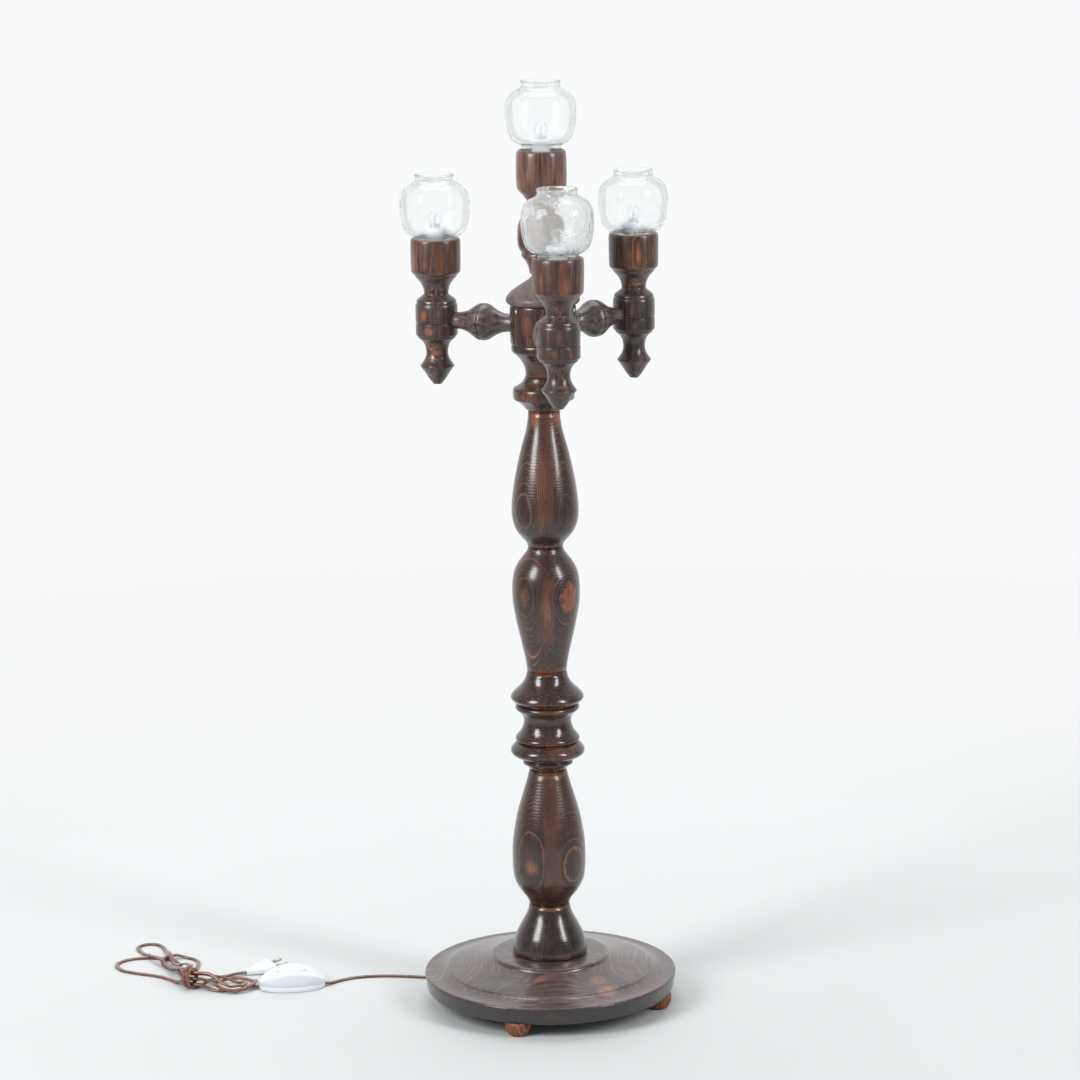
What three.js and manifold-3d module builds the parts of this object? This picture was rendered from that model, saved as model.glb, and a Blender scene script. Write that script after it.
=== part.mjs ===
// Candlestick floor lamp with four lights, in millimetres, +Z up, the front arm towards -Y.
import * as THREE from "three";
import { mergeVertices } from "three/addons/utils/BufferGeometryUtils.js";
import Module from "manifold-3d";

const wasm = await Module();
wasm.setup();

// Overall sizes
const baseRadius = 157.5;
const armReach = 141.2;
const armCount = 3;
const lightCount = 4;
const footCount = 4;
const gap = 0.3;

// Smoothness, in steps round a full turn
const baseSteps = 32;
const columnSteps = 21;
const holderSteps = 16;
const shadeSteps = 16;
const armSteps = 12;
const smallSteps = 8;
const copeSteps = 40;

// Feet
const footHeight = 18.5;
const footRadius = 16.5;
const footCircleRadius = 140;
const footTurn = -24;
const footSteps = 16;
const footGrooveShare = 0.93;
const footOutlineShares = [[0, 0.6], [0.12, 0.76], [0.45, 0.95], [1, 1]];
const footHoleRadius = 2.2;
const footSinkRadius = 5.4;
const footSinkDepth = 4.6;

// Wood screws under the feet
const footScrewHeadRadius = 4.2;
const footScrewHeadHeight = 3;
const footScrewShankRadius = 1.8;
const footScrewLength = 26;
const footScrewLift = 1;
const screwHoleSlack = 0.3;

// Base board
const baseHeight = 43.5;
const baseOutlineShares = [
  [0, 0.975], [0.06, 0.981], [0.475, 1], [0.53, 0.975], [0.515, 0.885], [0.53, 0.86], [0.6, 0.825],
  [0.76, 0.65], [0.905, 0.462], [0.97, 0.468], [1, 0.45],
];
const baseRecessRadius = 24;
const baseRecessDepth = 10;

// Channel for the flex under the base, and the strain relief at its end
const channelWidth = 9.6;
const channelDepth = 8;
const channelTurn = 141;
const glandStart = 62;
const glandLength = 18;
const glandSleeveLength = 20;
const glandHeight = 16;
const glandSleeveRadius = 4.6;
const glandSleeveEndRadius = 3.4;
const glandAxisHeight = 13.5;

// Rod, washer and nut
const rodRadius = 5;
const rodBoreRadius = 3.2;
const rodEndSlack = 5;
const boreRadius = 5.3;
const washerRadius = 18;
const washerThickness = 2;
const nutRadius = 9.6;
const nutBoreRadius = 6.2;
const nutHeight = 5.6;
const nutSides = 6;

// Column pieces, from the bottom up: height, greatest radius, outline in shares of both
const bellHeight = 63.9;
const bellRadius = 46.5;
const bellOutlineShares = [
  [0, 0.972], [0.066, 1], [0.246, 0.968], [0.433, 0.875], [0.606, 0.751], [0.793, 0.622], [1, 0.535],
];
const lowerBalusterHeight = 173.3;
const lowerBalusterRadius = 45.6;
const lowerBalusterOutlineShares = [
  [0, 0.546], [0.043, 0.607], [0.095, 0.752], [0.153, 0.888], [0.234, 0.978], [0.343, 1], [0.465, 0.987],
  [0.597, 0.91], [0.747, 0.776], [0.892, 0.614], [1, 0.498],
];
const beadRingHeight = 35.7;
const beadRingRadius = 45.9;
const beadRingOutlineShares = [
  [0, 0.495], [0.151, 0.575], [0.221, 0.68], [0.328, 0.68], [0.375, 0.645], [0.501, 0.889], [0.681, 1],
  [0.866, 0.919], [1, 0.828],
];
const spoolHeight = 47;
const spoolRadius = 39.8;
const spoolOutlineShares = [
  [0, 0.955], [0.062, 1], [0.215, 0.894], [0.36, 0.786], [0.53, 0.739], [0.704, 0.784], [0.813, 0.892],
  [0.913, 1], [1, 0.957],
];
const knopHeight = 41.8;
const knopRadius = 45.1;
const knopOutlineShares = [
  [0, 0.845], [0.122, 0.953], [0.218, 1], [0.325, 0.967], [0.455, 0.847], [0.577, 0.721], [0.72, 0.627],
  [1, 0.539],
];
const middleBalusterHeight = 156.3;
const middleBalusterRadius = 41.7;
const middleBalusterOutlineShares = [
  [0, 0.583], [0.099, 0.633], [0.234, 0.746], [0.381, 0.868], [0.528, 0.971], [0.656, 1], [0.752, 0.978],
  [0.829, 0.906], [0.886, 0.782], [0.944, 0.616], [1, 0.513],
];
const upperBalusterHeight = 168.7;
const upperBalusterRadius = 41.1;
const upperBalusterOutlineShares = [
  [0, 0.521], [0.041, 0.589], [0.082, 0.749], [0.13, 0.881], [0.195, 0.973], [0.29, 1], [0.414, 0.956],
  [0.568, 0.844], [0.729, 0.691], [0.865, 0.54], [1, 0.474],
];
const collarHeight = 41.8;
const collarRadius = 37.5;
const collarOutlineShares = [
  [0, 0.52], [0.177, 0.715], [0.321, 0.944], [0.404, 1], [0.62, 1], [0.679, 0.976], [0.751, 0.813],
  [0.847, 0.688], [1, 0.6],
];

// Hub block, its cap and the pins under the cap
const hubHeight = 88.8;
const hubRadius = 40;
const hubOutlineShares = [
  [0, 0.557], [0.065, 0.55], [0.178, 0.62], [0.279, 0.79], [0.352, 0.97], [0.431, 0.97], [0.448, 0.94],
  [0.465, 1], [0.972, 1], [1, 0.985],
];
const capHeight = 32.4;
const capRadius = 45;
const capOutlineShares = [
  [0, 0.933], [0.099, 1], [0.238, 0.984], [0.423, 0.88], [0.645, 0.671], [0.824, 0.467], [1, 0.311],
];
const pinHeadRadius = 2.4;
const pinHeadHeight = 1.6;
const pinShankRadius = 1.2;
const pinShankLength = 8;
const pinDropShare = 0.07;
const pinHoleRadius = 1.5;
const pinHoleDepth = 8.6;

// Candle holders
const centreCandleHeight = 153;
const centreCandleRadius = 30;
const centreCandleOutlineShares = [
  [0, 0.42], [0.018, 0.42], [0.026, 0.513], [0.092, 0.587], [0.165, 0.85], [0.19, 0.82], [0.229, 0.94],
  [0.288, 0.993], [0.346, 0.997], [0.418, 0.95], [0.49, 0.733], [0.556, 0.543], [0.608, 0.62],
  [0.654, 0.793], [0.716, 1], [0.974, 1], [1, 0.96],
];
const centreCandleRodHoleDepth = 20;
const armCandleHeight = 180;
const armCandleRadius = 30.5;
const armCandleOutlineShares = [
  [0, 0.18], [0.028, 0.318], [0.067, 0.475], [0.127, 0.675], [0.147, 0.557], [0.186, 0.446],
  [0.226, 0.426], [0.272, 0.492], [0.303, 0.633], [0.344, 0.843], [0.54, 0.85],
  [0.585, 0.74], [0.617, 0.62], [0.644, 0.52], [0.69, 0.61],
  [0.741, 0.845], [0.769, 0.98], [0.978, 1], [1, 0.957],
];
const cupRecessRadius = 25.6;
const cupRecessDepth = 8;
const cupBoreRadius = 11.4;
const cupBoreDepth = 34;
const wireBoreRadius = 3;

// Turned arms
const armRise = 62.8;
const armRiseShare = 0.441667;
const armOutlineShares = [
  [0, 0.42], [0.08, 0.42], [0.24, 0.55], [0.42, 0.83], [0.59, 1], [0.64, 0.95], [0.67, 1], [0.76, 0.8],
  [0.86, 0.53], [0.94, 0.38], [1, 0.37],
];
const armRadius = 22.9;
const tenonRadius = 7;
const tenonSlack = 0.3;
const hubTenonDepth = 15;
const hubSocketDepth = 16;
const candleTenonDepth = 9;
const candleSocketDepth = 10;
const hubShoulderSink = 1.4;
const candleShoulderSink = 1.6;
const armCandleDrumRadius = 25.8;

// Lampholders and bulbs
const lampholderBottomDepth = 33;
const lampholderRise = 13;
const lampholderRadius = 14;
const lampholderBodyRadius = 11;
const lampholderFlangeHeight = 4.5;
const lampholderSocketRadius = 6.6;
const lampholderSocketDepth = 9;
const bulbBaseRadius = 6.2;
const bulbBaseHeight = 11;
const bulbBaseLift = 0.4;
const bulbRadius = 7.7;
const bulbGlassHeight = 18.2;
const bulbOutlineShares = [[0, 0.78], [0.25, 1], [0.62, 1], [0.86, 0.76], [0.97, 0.32]];

// Glass shades
const shadeRadius = 43.2;
const shadeHeight = 89.9;
const shadeWall = 2.3;
const shadeSeat = 7.5;
const shadeNeckShare = 0.1435;
const shadeOutlineShares = [
  [0, 0.567], [shadeNeckShare, 0.572], [0.175, 0.7], [0.228, 0.84], [0.317, 0.926], [0.528, 1],
  [0.706, 0.98], [0.795, 0.907], [0.862, 0.755], [0.911, 0.56], [1, 0.563],
];
// The blown necks differ in length: how much of what could stand above its cup each shade lacks
const shadeDropShares = [0, 0.4, 1, 1];

// Flex, a flat twin
const flexWidth = 5.2;
const flexThickness = 3;
const flexCorner = 1.2;
const flexLift = 0.1;
const freeSteps = 22;

// Hank: the waist, the lobes as [turn, length, width, bend], the winding and how strands are laid
const hankWaistX = -447;
const hankWaistY = 112;
const hankTurn = 323;
const hankColumnPitch = 3.1;
const waistRise = 7.6;
const rowPitch = 3.8;
const rearLobes = [[111, 142, 74, 26], [93, 122, 46, 8], [106, 190, 32, 0]];
const frontLobes = [[-3, 82, 60, 0], [-9, 70, 40, 0]];
const lobeTaperShare = 0.5;
const lobeBellyShare = 0.35;
const windingRadius = 12.4;
const windingWidth = 10.5;
const windingTurns = 1.5;
const windingStepsPerTurn = 6;
const tieReach = 5;
const tailReach = 20;
const switchLead = [[-380, 93], [-395, 89.5], [-412, 91], [-430, 100]];
const plugLead = [[-416, 143], [-399, 148]];
const ringsPerSpan = 3;
const laysPerRing = 3;
const layRounds = 12;
const layReach = 5.9;
const laySkip = 14;
const layPitch = 3.6;
const humpFlat = 5;
const humpRamp = 12;
const humpRampShare = 2.2;

// Foot switch
const switchX = -319.5;
const switchY = 95;
const switchLength = 84;
const switchWidth = 46;
const switchSeam = 7;
const switchCrown = 25;
const switchEndHeight = 11;
const switchSteps = 14;
const switchInletHeight = 3.4;
const switchInletDepth = 6;
const switchInletWidth = 6.2;
const switchInletThickness = 4;
const buttonLength = 36;
const buttonWidth = 20;
const buttonRise = 1.2;
const buttonBottom = 12;
const buttonSlack = 0.4;

// Plug, lying on its flat tapered side
const plugX = -342;
const plugY = 166;
const plugTurn = 22;
const plugTilt = 5.7;
const plugLength = 36;
const plugWidth = 34;
const plugFrontThickness = 14;
const plugRearThickness = 7;
const plugRearWidth = 11;
const plugShoulderShare = 0.45;
const plugWaistShare = 0.62;
const plugPinRadius = 2;
const plugPinLength = 19;
const plugPinRoot = 8;
const plugPinSpacing = 19;
const plugPinSlack = 0.3;

// Heights that follow from the sizes above
const baseBottom = footHeight;
const baseTop = baseBottom + baseHeight;
const bellBottom = baseTop + gap;
const lowerBalusterBottom = bellBottom + bellHeight + gap;
const beadRingBottom = lowerBalusterBottom + lowerBalusterHeight + gap;
const spoolBottom = beadRingBottom + beadRingHeight + gap;
const knopBottom = spoolBottom + spoolHeight + gap;
const middleBalusterBottom = knopBottom + knopHeight + gap;
const upperBalusterBottom = middleBalusterBottom + middleBalusterHeight + gap;
const collarBottom = upperBalusterBottom + upperBalusterHeight + gap;
const hubBottom = collarBottom + collarHeight + gap;
const capBottom = hubBottom + hubHeight + gap;
const centreCandleBottom = capBottom + capHeight + gap;
const centreCandleTop = centreCandleBottom + centreCandleHeight;
const pinHeight = hubBottom + hubHeight * (1 - pinDropShare);
const armAxisHeight = hubBottom + armRise;
const armInCandle = armCandleHeight * armRiseShare;
const armCandleBottom = armAxisHeight - armInCandle;
const armCandleTop = armCandleBottom + armCandleHeight;

// The column stands behind the middle of the lamp, because one arm reaches to the front
const columnY = (armReach + shadeRadius - baseRadius) / 2;

const root = new THREE.Group();
const radians = THREE.MathUtils.degToRad;

function add(name, geometry, x, y, z, turn) {
  const mesh = new THREE.Mesh(geometry, new THREE.MeshStandardMaterial());
  mesh.name = name;
  mesh.position.set(x, y + columnY, z);
  mesh.rotation.z = turn;
  root.add(mesh);
  return mesh;
}

// A closed outline of [out, up] points, turned about the Z axis
function turned(points, steps) {
  const closed = [...points, points[0]].map(([out, up]) => new THREE.Vector2(out, up));
  return new THREE.LatheGeometry(closed, steps).rotateX(Math.PI / 2);
}

function outlinePoints(shares, height, radius) {
  return shares.map(([upShare, outShare]) => [outShare * radius, upShare * height]);
}

// A turned piece with a straight bore
function boredPiece(shares, height, radius, bore, steps) {
  return turned([[bore, 0], ...outlinePoints(shares, height, radius), [bore, height]], steps);
}

function rodPiece(radius, length, steps) {
  return turned([[0, 0], [radius, 0], [radius, length], [0, length]], steps);
}

// Boolean work on closed solids
function solidOf(geometry) {
  const bare = (geometry.index ? geometry.toNonIndexed() : geometry).clone();
  bare.deleteAttribute("normal");
  bare.deleteAttribute("uv");
  const merged = mergeVertices(bare);
  return new wasm.Manifold(new wasm.Mesh({
    numProp: 3,
    vertProperties: merged.attributes.position.array,
    triVerts: new Uint32Array(merged.index.array),
  }));
}

function geometryOf(solid) {
  const mesh = solid.getMesh();
  const geometry = new THREE.BufferGeometry();
  geometry.setAttribute("position", new THREE.BufferAttribute(new Float32Array(mesh.vertProperties), mesh.numProp));
  geometry.setIndex(new THREE.BufferAttribute(new Uint32Array(mesh.triVerts), 1));
  return geometry;
}

// A cylinder along +X from one distance to another, at a height, turned about Z
function radialCylinder(radius, from, to, height, turn, steps) {
  return rodPiece(radius, to - from, steps)
    .rotateY(Math.PI / 2)
    .translate(from, 0, height)
    .rotateZ(turn);
}

function boxBetween(x0, x1, y0, y1, z0, z1) {
  return new THREE.BoxGeometry(x1 - x0, y1 - y0, z1 - z0)
    .translate((x0 + x1) / 2, (y0 + y1) / 2, (z0 + z1) / 2);
}

const armTurns = Array.from({ length: armCount }, (_, i) => -Math.PI / 2 + (i * 2 * Math.PI) / armCount);
const footTurns = Array.from({ length: footCount }, (_, i) =>
  -Math.PI / 2 + radians(footTurn) + (i * 2 * Math.PI) / footCount);

// Base board: recess and bore for the rod, pilot holes for the feet, channel for the flex
const basePoints = [
  [boreRadius, baseRecessDepth],
  [baseRecessRadius, baseRecessDepth],
  [baseRecessRadius, 0],
  ...outlinePoints(baseOutlineShares, baseHeight, baseRadius),
  [boreRadius, baseHeight],
];
let baseSolid = solidOf(turned(basePoints, baseSteps));
const pilotDepth = footScrewLength + footScrewLift - footHeight + gap;
for (const turn of footTurns) {
  baseSolid = baseSolid.subtract(solidOf(
    rodPiece(footScrewShankRadius + screwHoleSlack, pilotDepth + gap, smallSteps)
      .translate(footCircleRadius * Math.cos(turn), footCircleRadius * Math.sin(turn), -gap)));
}
const channelEnd = glandStart + glandLength + gap;
const channel = boxBetween(
  baseRecessRadius - gap, channelEnd, -channelWidth / 2, channelWidth / 2, -gap, channelDepth);
baseSolid = baseSolid.subtract(solidOf(channel.rotateZ(radians(channelTurn))));
add("base_disc", geometryOf(baseSolid), 0, 0, baseBottom, 0);

// Feet: grooved half buns, each with a sunk screw
const footPoints = [
  [footSinkRadius, 0],
  ...outlinePoints(footOutlineShares, footHeight - gap, footRadius),
  [footHoleRadius, footHeight - gap],
  [footHoleRadius, footSinkDepth],
];
const footGeometry = turned(footPoints, footSteps);
const footPositions = footGeometry.attributes.position;
const footStep = (2 * Math.PI) / footSteps;
for (let i = 0; i < footPositions.count; i += 1) {
  const x = footPositions.getX(i);
  const y = footPositions.getY(i);
  const spoke = Math.round(Math.atan2(y, x) / footStep + footSteps) % 2;
  if (spoke === 1 && Math.hypot(x, y) > footSinkRadius + gap) {
    footPositions.setXY(i, x * footGrooveShare, y * footGrooveShare);
  }
}
const footScrewGeometry = turned([
  [0, 0],
  [footScrewHeadRadius, 0],
  [footScrewShankRadius, footScrewHeadHeight],
  [footScrewShankRadius, footScrewLength - footScrewHeadHeight],
  [0, footScrewLength],
], smallSteps);
footTurns.forEach((turn, i) => {
  const x = footCircleRadius * Math.cos(turn);
  const y = footCircleRadius * Math.sin(turn);
  add(`foot_${i + 1}`, footGeometry, x, y, 0, turn);
  add(`foot_screw_${i + 1}`, footScrewGeometry, x, y, footScrewLift, 0);
});

// Rod, washer and nut under the base
const washerBottom = baseBottom + baseRecessDepth - gap - washerThickness;
const tube = (inner, outer, height, steps) =>
  turned([[inner, 0], [outer, 0], [outer, height], [inner, height]], steps);
const nutBottom = washerBottom - gap - nutHeight;
const rodTop = centreCandleBottom + centreCandleRodHoleDepth - rodEndSlack;
add("threaded_rod", tube(rodBoreRadius, rodRadius, rodTop - nutBottom, smallSteps), 0, 0, nutBottom, 0);
add("base_washer", tube(boreRadius, washerRadius, washerThickness, armSteps), 0, 0, washerBottom, 0);
add("base_nut", tube(nutBoreRadius, nutRadius, nutHeight, nutSides), 0, 0, nutBottom, 0);

// Column
const column = [
  ["column_bell", bellOutlineShares, bellHeight, bellRadius, bellBottom],
  ["lower_baluster", lowerBalusterOutlineShares, lowerBalusterHeight, lowerBalusterRadius, lowerBalusterBottom],
  ["bead_ring", beadRingOutlineShares, beadRingHeight, beadRingRadius, beadRingBottom],
  ["spool_ring", spoolOutlineShares, spoolHeight, spoolRadius, spoolBottom],
  ["knop", knopOutlineShares, knopHeight, knopRadius, knopBottom],
  ["middle_baluster", middleBalusterOutlineShares, middleBalusterHeight, middleBalusterRadius,
    middleBalusterBottom],
  ["upper_baluster", upperBalusterOutlineShares, upperBalusterHeight, upperBalusterRadius, upperBalusterBottom],
  ["hub_collar", collarOutlineShares, collarHeight, collarRadius, collarBottom],
  ["hub_cap", capOutlineShares, capHeight, capRadius, capBottom],
];
for (const [name, shares, height, radius, bottom] of column) {
  add(name, boredPiece(shares, height, radius, boreRadius, columnSteps), 0, 0, bottom, 0);
}

// Hub block: sockets and wire holes for the arms, pin holes between them
let hubSolid = solidOf(boredPiece(hubOutlineShares, hubHeight, hubRadius, boreRadius, columnSteps));
const armInHub = armAxisHeight - hubBottom;
const pinInHub = pinHeight - hubBottom;
for (const turn of armTurns) {
  const socketFloor = hubRadius - hubSocketDepth;
  const pinTurn = turn + Math.PI / armCount;
  const cuts = [
    radialCylinder(tenonRadius + tenonSlack, socketFloor, hubRadius + gap, armInHub, turn, armSteps),
    radialCylinder(wireBoreRadius, boreRadius - gap, hubRadius, armInHub, turn, smallSteps),
    radialCylinder(pinHoleRadius, hubRadius - pinHoleDepth, hubRadius + gap, pinInHub, pinTurn, smallSteps),
  ];
  for (const cut of cuts) hubSolid = hubSolid.subtract(solidOf(cut));
}
add("hub_block", geometryOf(hubSolid), 0, 0, hubBottom, 0);
const pinGeometry = turned([
  [0, 0],
  [pinShankRadius, 0],
  [pinShankRadius, pinShankLength],
  [pinHeadRadius, pinShankLength],
  [pinHeadRadius / Math.SQRT2, pinShankLength + pinHeadHeight],
  [0, pinShankLength + pinHeadHeight],
], smallSteps).rotateY(Math.PI / 2).translate(hubRadius + gap - pinShankLength, 0, 0);
armTurns.forEach((turn, i) => {
  add(`hub_pin_${i + 1}`, pinGeometry, 0, 0, pinHeight, turn + Math.PI / armCount);
});

// A cup at the top of a candle holder: recess for the glass, bore for the lampholder, wire bore below
function cupPoints(height, wireBottom) {
  return [
    [cupRecessRadius, height],
    [cupRecessRadius, height - cupRecessDepth],
    [cupBoreRadius, height - cupRecessDepth],
    [cupBoreRadius, height - cupBoreDepth],
    [wireBoreRadius, height - cupBoreDepth],
    [wireBoreRadius, wireBottom],
  ];
}

// Centre candle holder, over the end of the rod
const centreGeometry = turned([
  [boreRadius, 0],
  ...outlinePoints(centreCandleOutlineShares, centreCandleHeight, centreCandleRadius),
  ...cupPoints(centreCandleHeight, centreCandleRodHoleDepth),
  [boreRadius, centreCandleRodHoleDepth],
], holderSteps);
add("centre_candle", centreGeometry, 0, 0, centreCandleBottom, 0);

// Arm candle holders: a drop below, a socket towards the hub
let armCandleSolid = solidOf(turned([
  [0, 0],
  ...outlinePoints(armCandleOutlineShares, armCandleHeight, armCandleRadius),
  ...cupPoints(armCandleHeight, armInCandle),
  [0, armInCandle],
], holderSteps));
const candleCuts = [
  radialCylinder(tenonRadius + tenonSlack, armCandleDrumRadius - candleSocketDepth,
    armCandleDrumRadius + gap, armInCandle, Math.PI, armSteps),
  radialCylinder(wireBoreRadius, 0, armCandleDrumRadius, armInCandle, Math.PI, smallSteps),
];
for (const cut of candleCuts) armCandleSolid = armCandleSolid.subtract(solidOf(cut));
const armCandleGeometry = geometryOf(armCandleSolid);

// Arms: coped to the hub and to the candle holder, with a tenon at each end and a wire bore
const armStart = hubRadius - hubShoulderSink;
const armEnd = armReach - armCandleDrumRadius + candleShoulderSink;
const copeHeight = 2 * armRadius;
const armBody = solidOf(turned([
  [0, 0],
  ...outlinePoints(armOutlineShares, armEnd - armStart, armRadius),
  [0, armEnd - armStart],
], armSteps).rotateY(Math.PI / 2).translate(armStart, 0, 0));
const hubCope = rodPiece(hubRadius + gap, copeHeight, copeSteps).translate(0, 0, -copeHeight / 2);
const candleCope = rodPiece(armCandleDrumRadius + gap, copeHeight, copeSteps)
  .translate(armReach, 0, -copeHeight / 2);
const tenonFrom = hubRadius - hubTenonDepth;
const tenonTo = armReach - armCandleDrumRadius + candleTenonDepth;
const armGeometry = geometryOf(armBody
  .subtract(solidOf(hubCope))
  .subtract(solidOf(candleCope))
  .add(solidOf(radialCylinder(tenonRadius, tenonFrom, tenonTo, 0, 0, armSteps)))
  .subtract(solidOf(radialCylinder(wireBoreRadius, tenonFrom - gap, tenonTo + gap, 0, 0, smallSteps))));
armTurns.forEach((turn, i) => {
  add(`arm_spindle_${i + 1}`, armGeometry, 0, 0, armAxisHeight, turn);
  add(`arm_candle_${i + 1}`, armCandleGeometry,
    armReach * Math.cos(turn), armReach * Math.sin(turn), armCandleBottom, turn);
});

// Lampholders, bulbs and shades stand in each cup
const lampholderHeight = lampholderBottomDepth + lampholderRise;
const flangeFrom = lampholderHeight - lampholderFlangeHeight;
const socketFloor = lampholderHeight - lampholderSocketDepth;
const lampholderGeometry = turned([
  [0, 0],
  [lampholderBodyRadius, 0],
  [lampholderBodyRadius, flangeFrom],
  [lampholderRadius, flangeFrom + gap],
  [lampholderRadius, lampholderHeight - gap],
  [lampholderSocketRadius, lampholderHeight],
  [lampholderSocketRadius, socketFloor],
  [0, socketFloor],
], armSteps);
const bulbBaseGeometry = rodPiece(bulbBaseRadius, bulbBaseHeight, smallSteps);
const bulbGlassGeometry = turned([
  [0, 0], ...outlinePoints(bulbOutlineShares, bulbGlassHeight, bulbRadius), [0, bulbGlassHeight],
], smallSteps);

// A shade's inner wall is its outline moved in by the wall, square to the outline
function shadePoints(drop) {
  const outer = outlinePoints(shadeOutlineShares, shadeHeight, shadeRadius)
    .map(([out, up]) => [out, up > 0 ? up - drop : up]);
  const inner = outer.map(([out, up], i) => {
    const [outA, upA] = outer[Math.max(i - 1, 0)];
    const [outB, upB] = outer[Math.min(i + 1, outer.length - 1)];
    const length = Math.hypot(outB - outA, upB - upA);
    const flat = i === 0 || i === outer.length - 1;
    return [
      out - (flat ? shadeWall : (shadeWall * (upB - upA)) / length),
      flat ? up : up + (shadeWall * (outB - outA)) / length,
    ];
  });
  return [...outer, ...inner.reverse()];
}
const shadeNeckRise = shadeHeight * shadeNeckShare - shadeSeat - gap;
const lights = [[0, 0, centreCandleTop], ...armTurns.map((turn) =>
  [armReach * Math.cos(turn), armReach * Math.sin(turn), armCandleTop])].slice(0, lightCount);
lights.forEach(([x, y, cupTop], i) => {
  const socketTop = cupTop + lampholderRise - lampholderSocketDepth;
  const bulbBaseBottom = socketTop + bulbBaseLift;
  add(`lampholder_${i + 1}`, lampholderGeometry, x, y, cupTop - lampholderBottomDepth, 0);
  add(`bulb_base_${i + 1}`, bulbBaseGeometry, x, y, bulbBaseBottom, 0);
  add(`bulb_glass_${i + 1}`, bulbGlassGeometry, x, y, bulbBaseBottom + bulbBaseHeight + gap, 0);
  const shadeGeometry = turned(shadePoints(shadeNeckRise * shadeDropShares[i]), shadeSteps);
  add(`glass_shade_${i + 1}`, shadeGeometry, x, y, cupTop - shadeSeat, 0);
});

// Strain relief: a block in the channel with a tapered sleeve
const glandTop = baseBottom + channelDepth - gap;
const glandSideSlack = gap;
const glandBlock = boxBetween(
  glandStart, glandStart + glandLength, -channelWidth / 2 + glandSideSlack, channelWidth / 2 - glandSideSlack,
  glandTop - glandHeight, glandTop);
const glandSleeve = turned([
  [0, -gap],
  [glandSleeveRadius, -gap],
  [glandSleeveEndRadius, glandSleeveLength],
  [0, glandSleeveLength],
], armSteps).rotateY(Math.PI / 2).translate(glandStart + glandLength, 0, glandAxisHeight);
const glandGeometry = geometryOf(solidOf(glandBlock).add(solidOf(glandSleeve)));
add("cord_gland", glandGeometry, 0, 0, 0, radians(channelTurn));

// Flex section: a flat form with cut corners, first across the thickness, then across the width
const sectionX = flexThickness / 2;
const sectionY = flexWidth / 2;
const flexSection = new THREE.Shape([
  [sectionX, flexCorner - sectionY], [sectionX, sectionY - flexCorner],
  [sectionX - flexCorner, sectionY], [flexCorner - sectionX, sectionY],
  [-sectionX, sectionY - flexCorner], [-sectionX, flexCorner - sectionY],
  [flexCorner - sectionX, -sectionY], [sectionX - flexCorner, -sectionY],
].map(([x, y]) => new THREE.Vector2(x, y)));
const flexHeight = flexThickness / 2 + flexLift;

// Free stretch from the strain relief to the foot switch
const glandEnd = glandStart + glandLength + glandSleeveLength + gap;
const glandWay = new THREE.Vector3(Math.cos(radians(channelTurn)), Math.sin(radians(channelTurn)), 0);
const glandOutlet = glandWay.clone().multiplyScalar(glandEnd).setZ(glandAxisHeight);
const inletX = switchX + switchLength / 2;
const freeWaypoints = [
  [-106, 84.5, 9.6],
  [-127, 95.5, 3.6],
  [-149, 102.5, flexHeight],
  [-170, 109, flexHeight],
  [-192, 114.5, flexHeight],
  [-215, 117, flexHeight],
  [-237, 115, flexHeight],
  [-255, 108, flexHeight],
  [-268, 99, 2],
];
const freePoints = [
  glandOutlet,
  glandOutlet.clone().addScaledVector(glandWay, flexWidth),
  ...freeWaypoints.map(([x, y, z]) => new THREE.Vector3(x, y, z)),
  new THREE.Vector3(inletX + flexThickness, switchY, switchInletHeight),
  new THREE.Vector3(inletX - switchInletDepth + gap, switchY, switchInletHeight),
];
const freePath = new THREE.CatmullRomCurve3(freePoints);
const freeGeometry = new THREE.ExtrudeGeometry(flexSection, {
  steps: freeSteps, bevelEnabled: false, extrudePath: freePath,
});
add("cord_free", freeGeometry, 0, 0, 0, 0);

// Foot switch: an oval shell, arched from end to end, with an oval button
function ovalShape(length, width) {
  const shape = new THREE.Shape();
  shape.absellipse(0, 0, length / 2, width / 2, 0, 2 * Math.PI);
  return shape;
}

function ovalPrism(length, width, from, to) {
  return new THREE.ExtrudeGeometry(ovalShape(length, width), {
    depth: to - from, bevelEnabled: false, curveSegments: switchSteps,
  }).translate(0, 0, from);
}

// The arch in side view, as a block as wide as the switch
function archPrism(from, rise) {
  const shape = new THREE.Shape();
  const half = switchLength / 2;
  shape.moveTo(-half - gap, from);
  shape.lineTo(half + gap, from);
  for (let i = 0; i <= smallSteps; i += 1) {
    const along = 1 - (2 * i) / smallSteps;
    const up = switchEndHeight + (switchCrown - switchEndHeight) * (1 - along * along);
    shape.lineTo(along * (half + gap), up + rise);
  }
  return new THREE.ExtrudeGeometry(shape, { depth: switchWidth, bevelEnabled: false })
    .rotateX(Math.PI / 2)
    .translate(0, switchWidth / 2, 0);
}
const inletSide = (side) => boxBetween(
  Math.min(side * (switchLength / 2 - switchInletDepth), side * (switchLength / 2 + gap)),
  Math.max(side * (switchLength / 2 - switchInletDepth), side * (switchLength / 2 + gap)),
  -switchInletWidth / 2, switchInletWidth / 2,
  switchInletHeight - switchInletThickness / 2, switchInletHeight + switchInletThickness / 2);
const switchBase = solidOf(ovalPrism(switchLength, switchWidth, 0, switchSeam))
  .subtract(solidOf(inletSide(1)))
  .subtract(solidOf(inletSide(-1)));
const switchCover = solidOf(ovalPrism(switchLength, switchWidth, switchSeam + gap, switchCrown + gap))
  .intersect(solidOf(archPrism(switchSeam, 0)))
  .subtract(solidOf(ovalPrism(
    buttonLength + 2 * buttonSlack, buttonWidth + 2 * buttonSlack, switchSeam, switchCrown + 2 * gap)));
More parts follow.
